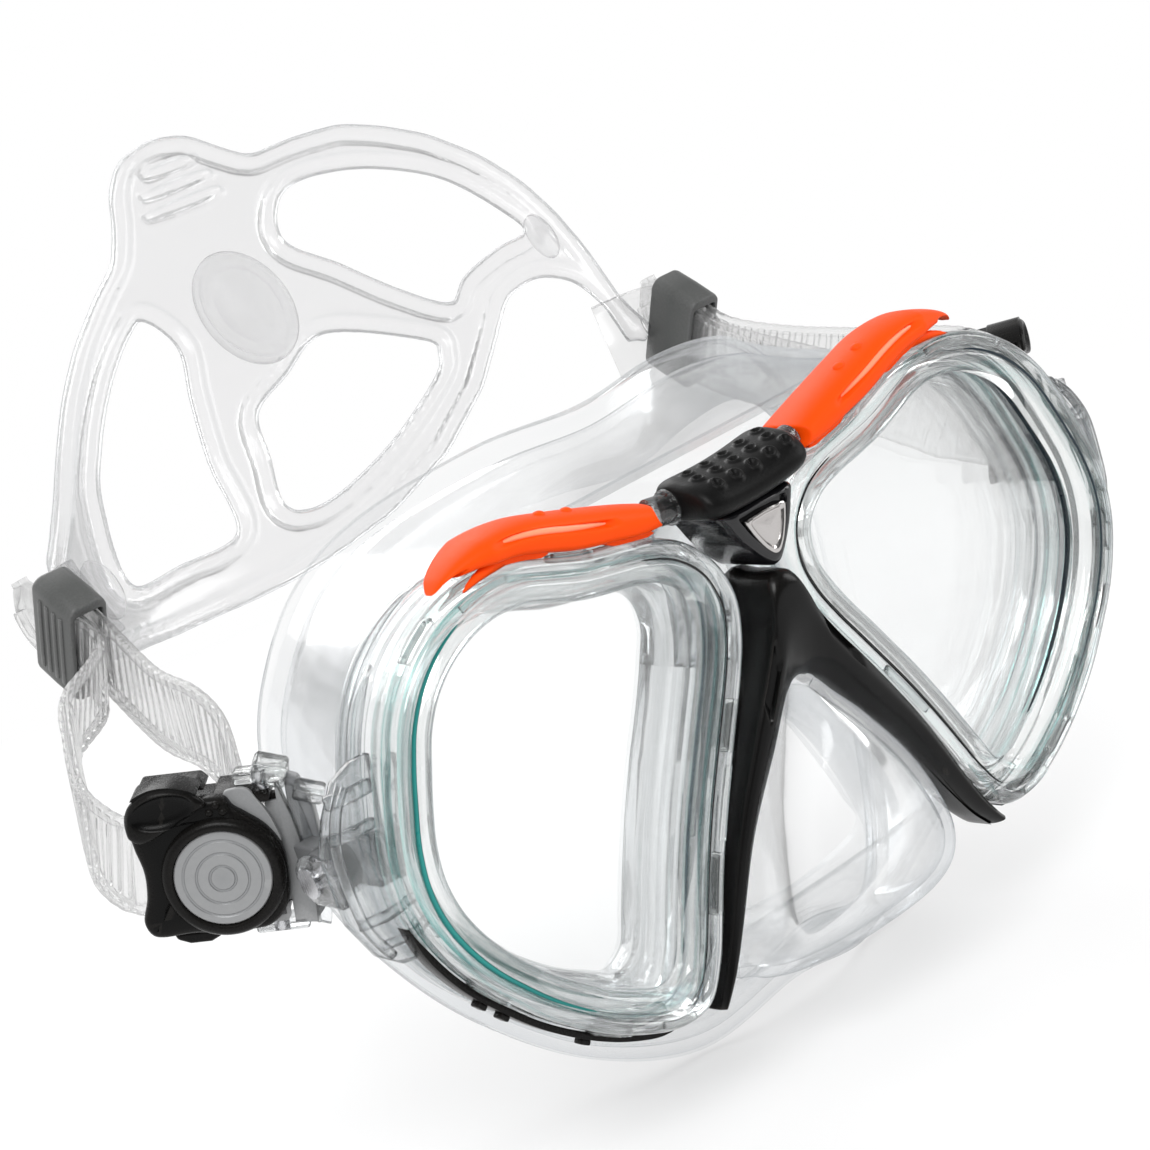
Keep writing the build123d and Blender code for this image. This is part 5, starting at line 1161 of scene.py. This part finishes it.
def make_yoke():
    bits = []
    E = Pl((0, 0, 0), (0, 1, 0), (1, 0, 0))
    C = Pl((-84.6, 14.5, 5.0), (0, 1, 0), (1, 0, 0))
    bits.append(lathe("barrel", [(1.58, 0.0), (3.3, 0.0), (3.7, 0.15), (3.88, 0.55), (3.88, 4.65), (3.7, 5.05), (3.3, 5.2), (1.58, 5.2)], C, [SMOKE], 56))
    bits.append(prism("arm", [(16.4, 1.6), (22.0, 1.6), (22.0, 8.8), (16.4, 8.8)], E, -83.3, -79.5, [SMOKE], 0.5, 3))
    bits.append(prism("hub", [(1.4, 13.9), (1.4, -9.6), (3.2, -9.2), (4.6, -7.6), (5.3, -2.0), (5.5, 4.0), (5.0, 9.0), (3.2, 13.2)], BP, -2.6, 1.0, [SMOKE], 0.35, 3))
    for y0, y1, mt in ((13.3, 15.3, CLEAR), (-10.5, -8.4, FRAME)):
        bits.append(prism("arm", [(-6.2, y0), (2.0, y0), (2.0, y1), (-6.2, y1)], BP, -2.5, 1.2, [mt], 0.55, 3))
    # pale crescent behind the plate's edge and the darker sector beyond it
    mid = opened([(0.3, 13.4), (1.0, 10.6), (1.9, 7.4), (2.6, 3.6), (3.1, -0.6), (3.4, -4.6), (3.5, -7.6), (3.4, -9.6)], 30)
    far = opened([(2.6, 12.6), (3.5, 8.6), (4.4, 4.4), (5.0, 0.4), (5.5, -3.9), (5.6, -7.6), (5.2, -10.2)], 30)
    lead = [(-0.1, -9.2), (-0.1, -5.5), (-1.9, -5.4), (-1.9, 10.4), (-0.1, 10.5), (-0.1, 13.0)]
    bits.append(prism("crescent", [tuple(p) for p in mid] + lead, BP, 0.40, 1.18, [CRESC], 0.12, 2))
    bits.append(prism("sector", [(x + 0.1, y) for x, y in mid] + [tuple(p) for p in far[::-1]], BP, 0.3, 1.38, [FRAME], 0.2, 2))
    bits.append(tube("seam", [loc(x + 0.1, y, 1.14) for x, y in mid], 0.28, [CLEAR], 10))
    # clear knuckles at the head of the sector
    bits.append(lathe("knuckle", [(0.9, -0.2), (2.1, 0.0), (2.5, 0.4), (2.5, 4.6), (2.1, 5.1), (0.9, 5.3)], Pl(loc(-3.0, 15.6, -0.2), unit(OUTW), unit(FWD * 0.95 - UPW * 0.30)), [CLEAR], 40))
    bits.append(lathe("knuckle", [(0.5, 0.0), (1.5, 0.1), (1.75, 0.4), (1.75, 4.3), (1.5, 4.7), (0.5, 4.8)], Pl(loc(2.6, 11.9, 0.6), unit(OUTW), unit(FWD * 0.93 - UPW * 0.32)), [CLEAR], 36))
    return join("right_gimbal_yoke", bits, 36)


pairs = [(make_buckle(), "left_buckle_shell", "buckle", "buckle_body", "satin_black"), (make_badge(), "left_badge_disc", "buckle", "buckle_badge", "badge_grey"),
         (make_button(True), "left_upper_press", "upper_button", "upper_button", "satin_black"), (make_button(False), "left_lower_press", "lower_button", "lower_button", "satin_black"),
         (make_yoke(), "left_gimbal_yoke", "yoke", "yoke", "smoke_grey")]
for o, twin, body, node, sl in pairs:
    m = mirrored(o, twin)
    for sd, x in (("right", o), ("left", m)):
        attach(x, f"{sd}_{body}")
        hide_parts(f"{sd}_{node}")

# ------------------------------------------------------------------ CAD nodes that stay on show
for sd in ("right", "left"):
    for node, mat in (("pitch_pin", STEEL), ("yaw_pins", STEEL), ("roller_pin", STEEL), ("pawl_pin", STEEL), ("pawl_spring", STEEL), ("roller", ACETAL), ("pawl", SATIN)):
        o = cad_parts[f"{sd}_{node}"]
        o.data.materials.clear()
        o.data.materials.append(mat)

# ------------------------------------------------------------------ floor, light and camera
scene = bpy.context.scene
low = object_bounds()[0].z
fm = Tree("pale_floor")
base = fm.mix(fm.noise(3.0, 3.0), (0.93, 0.93, 0.935, 1), (0.95, 0.95, 0.95, 1))
fl = fm.n("ShaderNodeBsdfPrincipled", {"Base Color": base, "Roughness": 0.85, "Specular IOR Level": 0.1}).outputs[0]
glow = fm.n("ShaderNodeEmission", {"Color": (1, 1, 1, 1), "Strength": 1.0}).outputs[0]
pos = fm.n("ShaderNodeNewGeometry").outputs["Position"]
far = fm.n("ShaderNodeVectorMath", {0: pos}, operation="LENGTH").outputs["Value"]
far = fm.n("ShaderNodeMapRange", {0: far, 1: 0.10, 2: 0.42, 3: 0.45, 4: 1.0}).outputs[0]
floor_mat = fm.done(fm.n("ShaderNodeMixShader", {0: far, 1: fl, 2: glow}).outputs[0])
bm = bmesh.new()
bmesh.ops.create_grid(bm, x_segments=8, y_segments=8, size=6.0)
fme = bpy.data.meshes.new("floor")
bm.to_mesh(fme)
bm.free()
fme.materials.append(floor_mat)
floor = bpy.data.objects.new("floor", fme)
scene.collection.objects.link(floor)
floor.location = (0, 0, low - 0.0004)

world = bpy.data.worlds.new("studio")
world.use_nodes = True
scene.world = world
wt = world.node_tree
wt.nodes.clear()


def wn(kind, ins=None, **props):
    node = wt.nodes.new(kind)
    for k, v in props.items():
        setattr(node, k, v)
    for k, v in (ins or {}).items():
        if isinstance(v, bpy.types.NodeSocket):
            wt.links.new(v, node.inputs[k])
        else:
            node.inputs[k].default_value = v
    return node


gen = wn("ShaderNodeTexCoord").outputs["Generated"]
sep = wn("ShaderNodeSeparateXYZ", {0: gen}).outputs
lp = wn("ShaderNodeLightPath").outputs
# dark room in front, white sweep behind and overhead, with soft uneven patches
front = wn("ShaderNodeMath", {0: sep[1], 1: 0.75, 2: 0.50}, operation="MULTIPLY_ADD").outputs[0]
up = wn("ShaderNodeMath", {0: sep[2], 1: 0.25}, operation="MULTIPLY").outputs[0]
patch = wn("ShaderNodeTexNoise", {"Vector": gen, "Scale": 2.2, "Detail": 1.0}).outputs[0]
patch = wn("ShaderNodeMath", {0: patch, 1: 2.4, 2: -1.2}, operation="MULTIPLY_ADD").outputs[0]
lum = wn("ShaderNodeMath", {0: front, 1: up}, operation="ADD").outputs[0]
lum = wn("ShaderNodeMath", {0: lum, 1: patch}, operation="ADD").outputs[0]
lum = wn("ShaderNodeClamp", {0: lum, 1: 0.10, 2: 1.0}).outputs[0]
see = wn("ShaderNodeMix", {0: lp["Is Diffuse Ray"], 2: lum, 3: 0.80}, data_type="FLOAT").outputs[0]
see = wn("ShaderNodeMix", {0: lp["Is Camera Ray"], 2: see, 3: 1.0}, data_type="FLOAT").outputs[0]
bg = wn("ShaderNodeBackground", {"Color": (1, 1, 1, 1), "Strength": see}).outputs[0]
wout = wn("ShaderNodeOutputWorld")
wt.links.new(bg, wout.inputs[0])


def area(name, pos, look, size, power, col=(1, 1, 1)):
    d = bpy.data.lights.new(name, "AREA")
    d.shape, d.size, d.size_y, d.energy, d.color = "RECTANGLE", size[0], size[1], power, col
    o = bpy.data.objects.new(name, d)
    scene.collection.objects.link(o)
    o.location = pos
    o.rotation_mode = "QUATERNION"
    o.rotation_quaternion = (Vector(look) - Vector(pos)).to_track_quat("-Z", "Y")
    o.visible_camera = False
    return o


area("key_softbox", (-0.55, -0.55, 0.75), (0, 0.03, 0), (0.55, 0.40), 5.5)
area("fill_softbox", (0.75, -0.45, 0.35), (0, 0.03, 0), (0.35, 0.55), 2.4)
area("back_softbox", (0.1, 0.9, 0.6), (0, 0.03, 0), (0.9, 0.5), 4.0)

# camera at the object's usual three-quarter view, tilted
AZ, EL, ROLL, DIST = -0.60152, 0.25998, -0.326989, 0.47729
TARGET = Vector((-0.013690, 0.0299995, 0.0220205))
B = Vector((math.sin(AZ) * math.cos(EL), -math.cos(AZ) * math.cos(EL), math.sin(EL)))
r0 = Vector((math.cos(AZ), math.sin(AZ), 0))
u0 = B.cross(r0)
Rv = r0 * math.cos(ROLL) + u0 * math.sin(ROLL)
Uv = -r0 * math.sin(ROLL) + u0 * math.cos(ROLL)
cam = bpy.data.cameras.new("camera")
cam.lens, cam.sensor_width, cam.clip_start, cam.clip_end = 91.8, 36.0, 0.01, 30.0
co = bpy.data.objects.new("camera", cam)
scene.collection.objects.link(co)
M = Matrix((Rv, Uv, B)).transposed().to_4x4()
M.translation = TARGET + B * DIST
co.matrix_world = M
scene.camera = co

scene.view_settings.view_transform = "Standard"
scene.cycles.max_bounces = 24
scene.cycles.transmission_bounces = 16
scene.cycles.glossy_bounces = 4
scene.cycles.diffuse_bounces = 3
scene.cycles.transparent_max_bounces = 64
scene.cycles.caustics_reflective = False
scene.cycles.caustics_refractive = False
